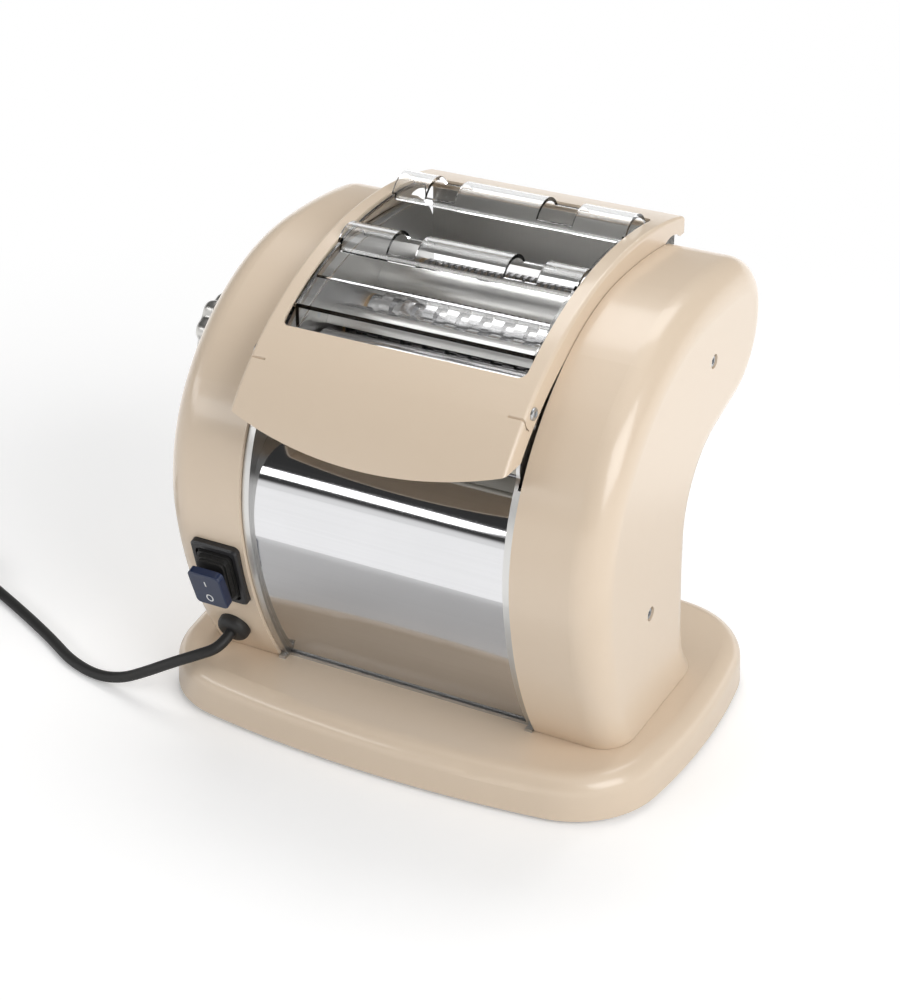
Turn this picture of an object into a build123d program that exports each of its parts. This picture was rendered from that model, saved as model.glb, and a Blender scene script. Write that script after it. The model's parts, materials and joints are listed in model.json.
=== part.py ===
from build123d import *
from math import acos, atan2, cos, degrees, hypot, pi, radians, sin, sqrt, tan
import os

os.makedirs("parts", exist_ok=True)

# Electric pasta maker. Millimetres. +X to the right as the user faces it, +Y to the back, +Z up.
# The origin is on the floor under the middle of the base. Places in side view are (Y, Z) pairs.

# ------------------------------------------------------------------ driving dimensions
# Side plates: sheet webs with a folded front lip. Rollers, hood and covers take their width from them.
PLATE_INNER_X = 71.0
PLATE_SHEET = 2.0
PLATE_OUTER_X = PLATE_INNER_X + PLATE_SHEET
PLATE_INSET = 2.0
LIP_DEPTH = 2.0
LIP_OUTER_X = PLATE_OUTER_X + LIP_DEPTH
LIP_TOP = 172.0
EAR_RADIUS = 3.6
EAR_FOOT_RADIUS = 9.0
PLATE_FOOT = 11.0
PLATE_FOOT_FRONT = -46.0
PLATE_FOOT_REAR = 31.0
EAR_FOOT = (-70.0, 181.0)
TIE_RODS = [(-70.0, 128.0), (0.0, 150.0), (12.0, 45.0), (-60.0, 50.0)]
TIE_ROD_RADIUS = 4.0
TIE_THREAD_RADIUS = 2.5
TIE_NUT = 8.0
TIE_NUT_HEIGHT = 4.0

# Side covers outside the plates.
COVER_GAP = 0.4
COVER_WIDTH = 47.1
COVER_INNER_X = LIP_OUTER_X + COVER_GAP
COVER_OUTER_X = COVER_INNER_X + COVER_WIDTH
COVER_WALL = 3.0
COVER_ROUND = 16.0

# Base moulding: a flat box with bowed sides and large round corners, longer than the covers are apart.
BASE_MARGIN = 21.5
BASE_LENGTH = 2 * (COVER_OUTER_X + BASE_MARGIN)
BASE_DEPTH = 210.0
BASE_BOW_FRONT = 13.0
BASE_BOW_END = 11.5
BASE_CORNER = 50.0
BASE_TOP = 25.4
BASE_SHOULDER = 10.0
BASE_WALL = 3.0
BASE_DRAFT = 3.0
FOOT_SHOW = 2.6
FOOT_RADIUS = 11.0
FOOT_CHAMFER = 0.6
FOOT_INSET_X = 46.0
FOOT_INSET_Y = 43.0
FOOT_PLACE_X = BASE_LENGTH / 2 - FOOT_INSET_X
FOOT_PLACE_Y = BASE_DEPTH / 2 - FOOT_INSET_Y
FOOT_SCREW_RADIUS = 2.0
FOOT_SCREW_HEAD = 3.6
FOOT_RECESS = 2.2
SCREW_HEAD_HEIGHT = 1.8
BOTTOM_PLATE = 1.5
PRESS_GAP = 0.3
CHASSIS_PLATE = 1.6
CHASSIS_TOP = BASE_TOP + CHASSIS_PLATE
CHASSIS_MARGIN = 1.0
CHASSIS_HALF = PLATE_OUTER_X + PLATE_FOOT + CHASSIS_MARGIN
CHASSIS_FRONT = -57.0
CHASSIS_REAR = 34.0
TONGUE_FRONT = -64.0
TONGUE_REAR = 38.0
CHASSIS_SCREW_X = PLATE_OUTER_X + PLATE_FOOT / 2 + CHASSIS_MARGIN
CHASSIS_SCREW_Y = 26.0
CHASSIS_SCREW_HEAD = 3.6
CHASSIS_SCREW_ACCESS = 1.0

# Side view of the covers: a chain of tangent arcs.
COVER_FOOT = BASE_TOP + 0.2
COVER_START = (-62.0, COVER_FOOT)
COVER_START_MID = (-82.5, 68.7)
COVER_POINTS = [
    (-93.0, 114.0),
    (-74.0, 187.0),
    (-32.0, 224.0),
    (24.0, 240.0),
    (79.0, 238.0),
    (107.0, 212.0),
    (74.0, 159.0),
    (48.0, 152.0),
    (20.0, 115.0),
    (24.0, 59.0),
]
COVER_END = (42.0, COVER_FOOT)
COVER_SCREWS = [(36.2, 201.0), (-30.4, 91.4)]
COVER_BOSS_RADIUS = 5.0
COVER_SCREW_RADIUS = 2.0
COVER_SCREW_HEAD = 3.4
COVER_SCREW_SINK = 2.5
HOLE_CLEARANCE = 0.2

# Hood: bent sheet with a flange along both sides, hinged on two screws.
HOOD_SHEET = 1.2
HOOD_OUTER_X = LIP_OUTER_X
HOOD_FLANGE = 12.0
HOOD_FOLD = 2.0
HOOD_NOTCH_RADIUS = 20.0
HOOD_NOTCH = (89.0, 219.0)
HOOD_APRON_END = (-106.5, 176.0)
HOOD_APRON_MID = (-87.0, 200.0)
HOOD_CREST_FRONT = (-64.0, 219.0)
HOOD_TOP = (20.0, 250.0)
HOOD_REAR = (106.0, 244.0)
HOOD_REAR_DROP = 9.0
HOOD_DEPTH = HOOD_REAR[0] - HOOD_TOP[0]
APRON_SIDE_Z = 187.5
APRON_MID_Z = 176.4
HOOD_STRIP = 8.5
OPENING_HALF = HOOD_OUTER_X - HOOD_STRIP
OPENING_FRONT_Y = -62.0
OPENING_REAR_Y = 84.0
OPENING_CORNER = 4.0
HOOD_PIVOT = (-70.0, 207.9)
TAB_RADIUS = 7.6
TAB_SLOT = 1.0
TAB_SLOT_REACH = 9.0
PIVOT_SCREW_RADIUS = 2.0
PIVOT_SCREW_HEAD = 3.8
PIVOT_HEAD_GAP = 0.1
PIVOT_FIT = 0.05

# Rollers, seen from the side. The two smooth rollers stand at their widest gap.
SMOOTH_RADIUS = 14.1
SMOOTH_CLOSED_GAP = 0.3
SMOOTH_TRAVEL = 1.8
SMOOTH_REAR = (-19.0, 185.5)
WIDE_RISE = 3.5
WIDE_FRONT = (12.5, SMOOTH_REAR[1] + WIDE_RISE)
FINE_RISE = 4.5
WIDE_PITCH = 13.0
WIDE_RADIUS = 11.0
WIDE_CORE = 8.6
FINE_PITCH = 4.0
FINE_RADIUS = 9.5
FINE_CORE = 7.7
WIDE_RINGS = 11
FINE_RINGS = 35
RING_SIDE_GAP = 0.03
JOURNAL_RADIUS = 5.0
JOURNAL_PROUD = 1.0
RUNNING_FIT = 0.05
BUSH_RADIUS = 7.0
BUSH_FLANGE = 8.7
BUSH_FLANGE_SHEET = 1.6
BUSH_PROUD = 3.0
BUSH_END_X = PLATE_OUTER_X + BUSH_PROUD
JOURNAL_LEFT_X = -BUSH_END_X - JOURNAL_PROUD
BARREL_END_PLAY = 0.4
BARREL_HALF = PLATE_INNER_X - BUSH_FLANGE_SHEET - BARREL_END_PLAY
BEARING_FACE_GAP = 0.1

# Gear train, all of one module.
MODULE = 1.5
PRESSURE_ANGLE = radians(25)
BACKLASH = 0.24
SMOOTH_TEETH = 19
WIDE_TEETH = 14
FINE_TEETH = 12
DRIVE_TEETH = 40
IDLER_TEETH = 28
PINION_TEETH = 16
DEDENDUM = 1.25
IDLER_DROP = 5.0
GEAR_WIDTH = 10.0
GEAR_SPACE = 2.0
SHAFT_PROUD = 0.3
STUD_RADIUS = 4.0
STUD_SHOULDER = 6.0
GEAR_END_PLAY = 0.1
STUD_FOOT = 1.5
HUB_RADIUS = 7.5
GEAR_PLATE_SHEET = 2.0
GEAR_PLATE_POSTS = [(-60.0, 135.0), (27.0, 158.0), (88.0, 212.0), (0.0, 216.0)]
POST_RADIUS = 3.5

# Motor and gearbox.
MOTOR_AXIS = (-32.0, 84.0)
MOTOR_RADIUS = 29.0
MOTOR_CAP = 12.0
MOTOR_END_ROOM = 2.0
MOTOR_CAP_STEP = 3.0
GEARBOX_DEPTH = 30.0
GEARBOX_LID = 4.0
GEARBOX_WALL = 3.0
GEARBOX_SCREW_LENGTH = 14.0
PILOT_RADIUS = 8.0
PILOT_PROUD = 1.0
GEARBOX_LARGE = 33.0
GEARBOX_SMALL = 18.0
GEARBOX_SCREW_CIRCLE = 27.0
GEARBOX_SCREW_ANGLES = [radians(0), radians(180), radians(270)]
GEARBOX_BOSS = 5.0
CRADLE_START_X = -30.0
CRADLE_WIDTH = 12.0
CRADLE_HALF = 22.0
CRADLE_TOP = 62.0
SMALL_SCREW_RADIUS = 1.75
SMALL_SCREW_HEAD = 3.2

# Sheet panels and guides between the side plates.
PANEL_SHEET = 1.2
PANEL_HALF = PLATE_INNER_X
PANEL_START = (-57.5, CHASSIS_TOP + 0.3)
PANEL_START_MID = (-78.2, 69.5)
PANEL_POINTS = [(-88.8, 114.0), (-86.5, 142.0), (-65.0, 165.5), (-24.0, 169.5)]
REAR_PANEL_START = (36.0, CHASSIS_TOP + 0.3)
REAR_PANEL_MID = (16.5, 92.0)
REAR_PANEL_POINTS = [(21.0, 128.0), (3.0, 168.0)]
GUIDE_SHEET = 0.8
# Guides by their start, middle and end: (Y, height above the rollers' axes).
FRONT_GUIDE = [(-12.5, 14.9), (-3.5, 20.5), (5.5, 15.4)]
MIDDLE_GUIDE = [(40.0, 15.3), (53.5, 26.5), (67.0, 15.1)]
REAR_GUIDE = [(100.5, 16.0), (102.4, 33.5), (102.8, 50.5)]
# Scrapers and combs strip the dough from the rollers: a bar, and the place where the blade meets a roller.
SCRAPER_BAR_RADIUS = 2.5
SCRAPER_GAP = 0.15
SCRAPER_TIP_RADIUS = 0.5
FRONT_SCRAPER_DROP = 7.5
FRONT_SCRAPER_BAR = (-72.0, SMOOTH_REAR[1] - FRONT_SCRAPER_DROP)
FRONT_SCRAPER_ANGLE = radians(230)
REAR_SCRAPER_DROP = 13.5
REAR_SCRAPER_BAR = (-5.0, SMOOTH_REAR[1] - REAR_SCRAPER_DROP)
REAR_SCRAPER_ANGLE = radians(310)
COMB_BAR_RADIUS = 2.0
COMB_TIP_RADIUS = 1.0
COMB_GAP = 0.3
# Comb bars by their (Y, height below the rollers' axes).
WIDE_COMB_BARS = [(1.0, 9.5), (46.0, 7.5)]
FINE_COMB_BARS = [(62.0, 8.5), (90.0, 13.0)]
COMB_ANGLES = [radians(245), radians(295)]

# Clear guard in the hood's opening.
GUARD_SHEET = 2.0
GUARD_HALF = OPENING_HALF - PRESS_GAP
GUARD_RAIL_INSET = 3.0
GUARD_RAIL_HALF = HOOD_OUTER_X - GUARD_RAIL_INSET
GUARD_WALL_DEPTH = 12.5
GUARD_REAR_GAP = 0.5
GUARD_REAR = OPENING_REAR_Y - GUARD_REAR_GAP
RIDGE_TIE = 3.0
RIDGE_WIDTH = 28.0
RIDGE_HEIGHT = 10.5
FRONT_RIDGE_TOP = (5.0, 250.0)
REAR_RIDGE_TOP = (62.0, 258.5)
FRONT_RIDGE_GAPS = [(-38.0, -22.0), (27.0, 45.0)]
REAR_RIDGE_GAPS = [(-47.0, -30.0), (17.0, 37.0)]
GUARD_BAR_FRONT = -49.0
GUARD_BAR_REAR = -31.0

# Thickness knob and its shaft, on the axis of the rear smooth roller.
KNOB_RADIUS = 20.5
KNOB_LENGTH = 12.0
KNOB_LOBES = 8
KNOB_SCALLOP = 5.5
KNOB_STANDOFF = 0.5
SCALE_DISC = 1.2
KNOB_EDGE = 2.0
KNOB_SCALLOP_CIRCLE = 23.5
SCALE_DISC_RADIUS = 24.0
ADJUSTER_RADIUS = 4.0
ECCENTRIC_GAP = 2.5
ECCENTRIC_WIDTH = 3.0
ECCENTRIC_RADIUS = 7.0
KNOB_SOCKET = 9.0
BRACKET_SPACE = 23.0
BRACKET_RADIUS = 26.0
BRACKET_POSTS = 3
BRACKET_POST_CIRCLE = 22.0

# Switch and cable gland on the front of the left cover.
SWITCH_INSET = 30.5
SWITCH_X = SWITCH_INSET - COVER_OUTER_X
SWITCH_Z = 87.0
SWITCH_WIDTH = 28.0
SWITCH_HEIGHT = 38.0
SWITCH_BEZEL = 3.0
SWITCH_SEAT = 1.0
SWITCH_CHAMFER = 1.0
SWITCH_BODY_DEPTH = 22.0
ROCKER_WIDTH = 19.5
ROCKER_HEIGHT = 24.0
ROCKER_CAP = 4.5
ROCKER_TILT = 6.0
ROCKER_TOP = 14.5
ROCKER_CORNER = 3.0
ROCKER_PIVOT = -2.0
ROCKER_STEM = 4.0
ROCKER_STEM_WIDTH = 8.0
TRUNNION_RADIUS = 1.5
TRUNNION_REACH = 9.3
SWITCH_POCKET_WIDTH = 16.0
SWITCH_POCKET_HEIGHT = 20.0
SWITCH_POCKET_DEPTH = 9.0
BOOT_WIDTH = 22.4
BOOT_HEIGHT = 31.4
BOOT_TOP = 8.0
BOOT_FOLDS = 3
BOOT_STEP = 1.2
BOOT_GROOVE = 1.0
BOOT_OPENING_WIDTH = 9.0
BOOT_OPENING_HEIGHT = 11.5
SWITCH_CUTOUT_WIDTH = 21.4
SWITCH_CUTOUT_HEIGHT = 29.4
GLAND_SLEEVE_RADIUS = 6.0
GLAND_INSET = 27.0
GLAND_X = GLAND_INSET - COVER_OUTER_X
GLAND_Z = 45.0
GLAND_RADIUS = 9.0
GLAND_LENGTH = 6.0
GLAND_DOME = 4.0
GLAND_SLEEVE_LENGTH = 9.0

# Mains lead: out of the gland, down to the floor, then along it to a put-away coil and the plug.
CORD_RADIUS = 3.0
CORD_ARC_SHARE = 0.45
CORD_ROUTE = [
    (-95.5, -78.1, 42.4),
    (-96.0, -87.0, 38.4),
    (-106.5, -93.0, 34.0),
    (-121.0, -97.0, 27.0),
    (-137.0, -98.5, 17.3),
    (-154.0, -98.0, 7.5),
    (-172.0, -96.5, 3.0),
    (-193.0, -91.0, 3.0),
    (-214.0, -79.0, 3.0),
    (-238.0, -67.0, 3.0),
    (-265.0, -54.5, 3.0),
    (-298.0, -40.0, 3.0),
    (-331.0, -36.0, 3.0),
]
COIL_CENTRE = (-335.0, -75.0)
COIL_RADIUS = 36.0
COIL_LAYERS = 3
PLUG_TAIL_Y = -80.0
PLUG_TAIL_RADIUS = 6.0
PLUG_TAIL_WALL = 1.0
PLUG_FACE_Y = -98.0
PLUG_RADIUS = 17.0
PLUG_LENGTH = 34.0
PLUG_EDGE = 3.0
PLUG_PIN_RADIUS = 2.4
PLUG_PIN_PITCH = 19.0
PLUG_PIN_LENGTH = 19.0

# ------------------------------------------------------------------ derived places
SMOOTH_CLOSED = 2 * SMOOTH_RADIUS + SMOOTH_CLOSED_GAP
SMOOTH_FRONT = (SMOOTH_REAR[0] - SMOOTH_CLOSED - SMOOTH_TRAVEL, SMOOTH_REAR[1])
WIDE_REAR = (WIDE_FRONT[0] + WIDE_TEETH * MODULE, WIDE_FRONT[1])
GEAR_PLANE_1 = BUSH_END_X + GEAR_SPACE
GEAR_PLANE_2 = GEAR_PLANE_1 + GEAR_WIDTH + GEAR_SPACE
GEAR_END = GEAR_PLANE_2 + GEAR_WIDTH
GEAR_PLATE_X = GEAR_END + GEAR_SPACE
DRIVE_HUB_X = PLATE_OUTER_X + GEAR_SPACE
IDLER_STUD_X = GEAR_PLANE_2 - STUD_FOOT
PILOT_END_X = PLATE_OUTER_X + PILOT_PROUD
ECCENTRIC_X = JOURNAL_LEFT_X - ECCENTRIC_GAP - ECCENTRIC_WIDTH
BRACKET_X = -PLATE_OUTER_X - BRACKET_SPACE - PLATE_SHEET


def pitch_radius(teeth):
    """Pitch circle radius of a gear of the train."""
    return teeth * MODULE / 2


def beside(first, first_reach, second, second_reach, side):
    """Point at the two given distances from two centres, above (1) or below (-1) the line between them."""
    dy = second[0] - first[0]
    dz = second[1] - first[1]
    span = hypot(dy, dz)
    along = (first_reach**2 - second_reach**2 + span**2) / (2 * span)
    across = side * sqrt(first_reach**2 - along**2)
    return (first[0] + (along * dy - across * dz) / span, first[1] + (along * dz + across * dy) / span)


def meshed(centre, teeth, rise):
    """Centre of the gear behind another, higher by the rise: the two have the given teeth between them."""
    reach = pitch_radius(teeth)
    return (centre[0] + sqrt(reach**2 - rise**2), centre[1] + rise)


DRIVE_CENTRE = beside(
    SMOOTH_FRONT,
    pitch_radius(DRIVE_TEETH + SMOOTH_TEETH),
    WIDE_FRONT,
    pitch_radius(DRIVE_TEETH + WIDE_TEETH),
    -1,
)
IDLER_CENTRE = meshed(WIDE_FRONT, IDLER_TEETH + WIDE_TEETH, -IDLER_DROP)
FINE_FRONT = meshed(IDLER_CENTRE, IDLER_TEETH + FINE_TEETH, IDLER_DROP - WIDE_RISE + FINE_RISE)
FINE_REAR = (FINE_FRONT[0] + FINE_TEETH * MODULE, FINE_FRONT[1])
PINION_CENTRE = (DRIVE_CENTRE[0], DRIVE_CENTRE[1] - pitch_radius(DRIVE_TEETH + PINION_TEETH))


def mesh_phase(first, first_teeth, first_phase, second, second_teeth):
    """Angle of a tooth of the second gear that fills a space of the first where the two meet."""
    line = atan2(second[1] - first[1], second[0] - first[0])
    return line + pi - (first_phase - line) * first_teeth / second_teeth + pi / second_teeth


SMOOTH_FRONT_PHASE = pi / 2
SMOOTH_REAR_PHASE = mesh_phase(SMOOTH_FRONT, SMOOTH_TEETH, SMOOTH_FRONT_PHASE, SMOOTH_REAR, SMOOTH_TEETH)
DRIVE_PHASE = mesh_phase(SMOOTH_FRONT, SMOOTH_TEETH, SMOOTH_FRONT_PHASE, DRIVE_CENTRE, DRIVE_TEETH)
PINION_PHASE = mesh_phase(DRIVE_CENTRE, DRIVE_TEETH, DRIVE_PHASE, PINION_CENTRE, PINION_TEETH)
WIDE_FRONT_PHASE = mesh_phase(DRIVE_CENTRE, DRIVE_TEETH, DRIVE_PHASE, WIDE_FRONT, WIDE_TEETH)
WIDE_REAR_PHASE = mesh_phase(WIDE_FRONT, WIDE_TEETH, WIDE_FRONT_PHASE, WIDE_REAR, WIDE_TEETH)
IDLER_PHASE = mesh_phase(WIDE_FRONT, WIDE_TEETH, WIDE_FRONT_PHASE, IDLER_CENTRE, IDLER_TEETH)
FINE_FRONT_PHASE = mesh_phase(IDLER_CENTRE, IDLER_TEETH, IDLER_PHASE, FINE_FRONT, FINE_TEETH)
FINE_REAR_PHASE = mesh_phase(FINE_FRONT, FINE_TEETH, FINE_FRONT_PHASE, FINE_REAR, FINE_TEETH)


# ------------------------------------------------------------------ shared outlines and shapes
def base_outline(inset):
    """Plan of the base: four bowed sides and round corners, drawn in from its edge by the inset."""
    half_length = BASE_LENGTH / 2 - inset
    half_depth = BASE_DEPTH / 2 - inset
    corner_x = half_length - BASE_BOW_END
    corner_y = half_depth - BASE_BOW_FRONT
    with BuildSketch() as outline:
        with BuildLine():
            ThreePointArc((-corner_x, -corner_y), (0, -half_depth), (corner_x, -corner_y))
            ThreePointArc((corner_x, -corner_y), (half_length, 0), (corner_x, corner_y))
            ThreePointArc((corner_x, corner_y), (0, half_depth), (-corner_x, corner_y))
            ThreePointArc((-corner_x, corner_y), (-half_length, 0), (-corner_x, -corner_y))
        make_face()
        fillet(outline.vertices(), BASE_CORNER - inset)
    return outline.sketch


def beside_curve(curve, at, inset):
    """Point at a fraction of a curve, moved by the inset to the right of the way it runs."""
    heading = curve % at
    return (curve @ at) + Vector(heading.Y, -heading.X) * inset


def arc_chain(start, bulge, points, inset=0.0):
    """Draw tangent arcs in the current BuildLine, moved by the inset to their right, and give both ends."""
    guide = ThreePointArc(start, bulge, points[0], mode=Mode.PRIVATE)
    arc = ThreePointArc(*[beside_curve(guide, at, inset) for at in (0, 0.5, 1)])
    first = arc @ 0
    for point in points[1:]:
        guide = TangentArc(guide @ 1, point, tangent=guide % 1, mode=Mode.PRIVATE)
        arc = TangentArc(arc @ 1, beside_curve(guide, 1, inset), tangent=arc % 1)
    return first, arc @ 1


def cover_edges(inset=0.0, leaning=0.0):
    """Side view of a side cover, drawn in by the inset; a leaning of 1 runs the front on in line below it."""
    foot = COVER_FOOT - inset
    with BuildLine() as outline:
        start, end = arc_chain(COVER_START, COVER_START_MID, COVER_POINTS + [COVER_END], inset)
        if inset:
            shift = start - Vector(COVER_START)
            front = start.X + leaning * (start.Y - foot) * shift.Y / shift.X
            Polyline(end, (end.X, foot), (front, foot), start)
        else:
            Line(end, start)
    return outline.edges()


def cover_block(inset):
    """Solid with the outer shape of the right side cover, drawn in by the inset and open below."""
    with BuildPart() as block:
        with BuildSketch(Plane.YZ.offset(COVER_INNER_X)):
            make_face(cover_edges(inset, leaning=1))
        extrude(amount=COVER_OUTER_X - COVER_INNER_X - inset)
        outer_face = block.faces().sort_by(Axis.X)[-1]
        rim = outer_face.edges().filter_by(GeomType.CIRCLE)
        if inset:
            rim += outer_face.edges().filter_by(GeomType.LINE).sort_by(Axis.Y)[:1]
        fillet(rim, COVER_ROUND - inset)
    return block.part


def hood_edges(inset=0.0):
    """Side view of what lies under the hood's outer surface, drawn in by the inset."""
    depth = Vector(0, HOOD_DEPTH)
    with BuildLine() as outline:
        start, end = arc_chain(HOOD_APRON_END, HOOD_APRON_MID, [HOOD_CREST_FRONT, HOOD_TOP, HOOD_REAR], inset)
        Polyline(end, end - depth, start - depth, start)
    return outline.edges()


def sheet_edges(start, bulge, points, thickness):
    """Edge view of a sheet bent to tangent arcs."""
    with BuildLine() as outline:
        outer = arc_chain(start, bulge, points)
        inner = arc_chain(start, bulge, points, thickness)
        Line(outer[0], inner[0])
        Line(outer[1], inner[1])
    return outline.edges()


def involute(angle):
    """Involute function of an angle."""
    return tan(angle) - angle


def gear_edges(teeth, phase):
    """Outline of a gear about its own centre, with one tooth centred on the phase angle."""
    radius = pitch_radius(teeth)
    base_radius = radius * cos(PRESSURE_ANGLE)
    root_radius = radius - DEDENDUM * MODULE
    tip_radius = radius + MODULE
    flank_start = max(base_radius, root_radius)
    flank = [flank_start, (flank_start + radius) / 2, radius, (radius + tip_radius) / 2, tip_radius]
    half_tooth = pi / (2 * teeth) - BACKLASH / (4 * radius) + involute(PRESSURE_ANGLE)

    def half_angle(at_radius):
        return half_tooth - involute(acos(min(1.0, base_radius / at_radius)))

    rising = [(reach, half_angle(reach)) for reach in flank]
    if base_radius > root_radius:
        rising.insert(0, (root_radius, half_angle(flank_start)))
    falling = [(reach, half) for reach, half in reversed(rising)]
    tooth_points = [(reach, -half) for reach, half in rising] + falling
    points = []
    for tooth in range(teeth):
        middle = phase + 2 * pi * tooth / teeth
        points += [(reach * cos(middle + turn), reach * sin(middle + turn)) for reach, turn in tooth_points]
    with BuildLine() as outline:
        Polyline(*points, close=True)
    return outline.edges()


def axle_plane(x, centre):
    """Plane square to X at the given x, with its origin at a (Y, Z) centre."""
    return Plane(origin=(x, centre[0], centre[1]), x_dir=(0, 1, 0), z_dir=(1, 0, 0))


def turned(centre, steps, bore=0.0):
    """Solid of coaxial cylinders along X about a (Y, Z) centre: each step is (start x, end x, radius)."""
    with BuildPart() as piece:
        for start, end, radius in steps:
            with BuildSketch(axle_plane(start, centre)):
                Circle(radius)
            extrude(amount=end - start)
        if bore:
            left = min(step[0] for step in steps)
            right = max(step[1] for step in steps)
            with BuildSketch(axle_plane(left, centre)):
                Circle(bore)
            extrude(amount=right - left, mode=Mode.SUBTRACT)
    return piece.part


def roller_gear(centre, teeth, phase, start_x, width, bore):
    """Gear about a (Y, Z) centre."""
    with BuildPart() as gear:
        with BuildSketch(axle_plane(start_x, centre)):
            make_face(gear_edges(teeth, phase))
            Circle(bore, mode=Mode.SUBTRACT)
        extrude(amount=width)
    return gear.part


def both_sides(part):
    """The part and its mirror image across the middle of the object."""
    return [part, mirror(part, about=Plane.YZ)]


# ------------------------------------------------------------------ base
with BuildPart() as base_shell:
    with BuildSketch(Plane.XY.offset(FOOT_SHOW)):
        add(base_outline(0))
    extrude(amount=BASE_TOP - FOOT_SHOW, taper=BASE_DRAFT)
    fillet(base_shell.faces().sort_by(Axis.Z)[-1].edges(), BASE_SHOULDER)
    with BuildSketch(Plane.XY.offset(FOOT_SHOW)):
        add(base_outline(BASE_WALL))
    extrude(amount=BASE_TOP - FOOT_SHOW - BASE_WALL, taper=BASE_DRAFT, mode=Mode.SUBTRACT)
    # Ribs stiffen the top, and posts take the screws of the feet.
    with BuildSketch(Plane.XY.offset(FOOT_SHOW + BOTTOM_PLATE)):
        with GridLocations(0, 2 * FOOT_PLACE_Y, 1, 2):
            Rectangle(2 * FOOT_PLACE_X, BASE_WALL)
        with GridLocations(2 * FOOT_PLACE_X, 0, 2, 1):
            Rectangle(BASE_WALL, 2 * FOOT_PLACE_Y)
        with GridLocations(2 * FOOT_PLACE_X, 2 * FOOT_PLACE_Y, 2, 2):
            Circle(POST_RADIUS + BASE_WALL)
    extrude(until=Until.NEXT)
    with BuildSketch(Plane.XY.offset(FOOT_SHOW)):
        with GridLocations(2 * FOOT_PLACE_X, 2 * FOOT_PLACE_Y, 2, 2):
            Circle(FOOT_SCREW_RADIUS)
    extrude(amount=BASE_TOP - BASE_WALL - FOOT_SHOW, mode=Mode.SUBTRACT)
    with BuildSketch(Plane.XY.offset(BASE_TOP - BASE_WALL)):
        with GridLocations(2 * CHASSIS_SCREW_X, 2 * CHASSIS_SCREW_Y, 2, 2):
            Circle(FOOT_SCREW_RADIUS)
    extrude(amount=BASE_WALL, mode=Mode.SUBTRACT)
base_shell.part.label = "base_shell"
export_step(base_shell.part, "parts/base_shell.step")

with BuildPart() as base_bottom_plate:
    with BuildSketch(Plane.XY.offset(FOOT_SHOW)):
        add(base_outline(BASE_WALL + PRESS_GAP))
        with GridLocations(2 * FOOT_PLACE_X, 2 * FOOT_PLACE_Y, 2, 2):
            Circle(FOOT_SCREW_RADIUS, mode=Mode.SUBTRACT)
        with GridLocations(2 * CHASSIS_SCREW_X, 2 * CHASSIS_SCREW_Y, 2, 2):
            Circle(CHASSIS_SCREW_HEAD + CHASSIS_SCREW_ACCESS, mode=Mode.SUBTRACT)
    extrude(amount=BOTTOM_PLATE)
base_bottom_plate.part.label = "base_bottom_plate"
export_step(base_bottom_plate.part, "parts/base_bottom_plate.step")

with BuildPart() as feet:
    with BuildSketch(Plane.XY):
        with GridLocations(2 * FOOT_PLACE_X, 2 * FOOT_PLACE_Y, 2, 2):
            Circle(FOOT_RADIUS)
    extrude(amount=FOOT_SHOW)
    chamfer(feet.faces().filter_by(Axis.Z).group_by(Axis.Z)[0].edges(), FOOT_CHAMFER)
    with BuildSketch(Plane.XY):
        with GridLocations(2 * FOOT_PLACE_X, 2 * FOOT_PLACE_Y, 2, 2):
            Circle(FOOT_SCREW_RADIUS)
    extrude(amount=FOOT_SHOW, mode=Mode.SUBTRACT)
    with BuildSketch(Plane.XY):
        with GridLocations(2 * FOOT_PLACE_X, 2 * FOOT_PLACE_Y, 2, 2):
            Circle(FOOT_SCREW_HEAD)
    extrude(amount=FOOT_RECESS, mode=Mode.SUBTRACT)
feet.part.label = "feet"
export_step(feet.part, "parts/feet.step")

with BuildPart() as foot_screws:
    with BuildSketch(Plane.XY.offset(FOOT_RECESS)):
        with GridLocations(2 * FOOT_PLACE_X, 2 * FOOT_PLACE_Y, 2, 2):
            Circle(FOOT_SCREW_RADIUS)
    extrude(amount=BASE_TOP - FOOT_RECESS - BASE_WALL)
    with BuildSketch(Plane.XY.offset(FOOT_RECESS)):
        with GridLocations(2 * FOOT_PLACE_X, 2 * FOOT_PLACE_Y, 2, 2):
            Circle(FOOT_SCREW_HEAD)
    extrude(amount=-SCREW_HEAD_HEIGHT)
foot_screws.part.label = "foot_screws"
export_step(foot_screws.part, "parts/foot_screws.step")

with BuildPart() as chassis_plate:
    with BuildSketch(Plane.XY.offset(BASE_TOP)):
        with Locations((0, (CHASSIS_FRONT + CHASSIS_REAR) / 2)):
            RectangleRounded(2 * CHASSIS_HALF, CHASSIS_REAR - CHASSIS_FRONT, BASE_WALL)
        with Locations((0, (TONGUE_FRONT + TONGUE_REAR) / 2)):
            Rectangle(2 * LIP_OUTER_X, TONGUE_REAR - TONGUE_FRONT)
        # Between the lips the plate ends under the front panel's foot.
        with Locations((0, TONGUE_FRONT)):
            Rectangle(
                2 * PLATE_INNER_X,
                PANEL_START[0] - PANEL_SHEET - TONGUE_FRONT,
                align=(Align.CENTER, Align.MIN),
                mode=Mode.SUBTRACT,
            )
        with GridLocations(2 * CHASSIS_SCREW_X, 2 * CHASSIS_SCREW_Y, 2, 2):
            Circle(FOOT_SCREW_RADIUS, mode=Mode.SUBTRACT)
    extrude(amount=CHASSIS_PLATE)
chassis_plate.part.label = "chassis_plate"
export_step(chassis_plate.part, "parts/chassis_plate.step")

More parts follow.
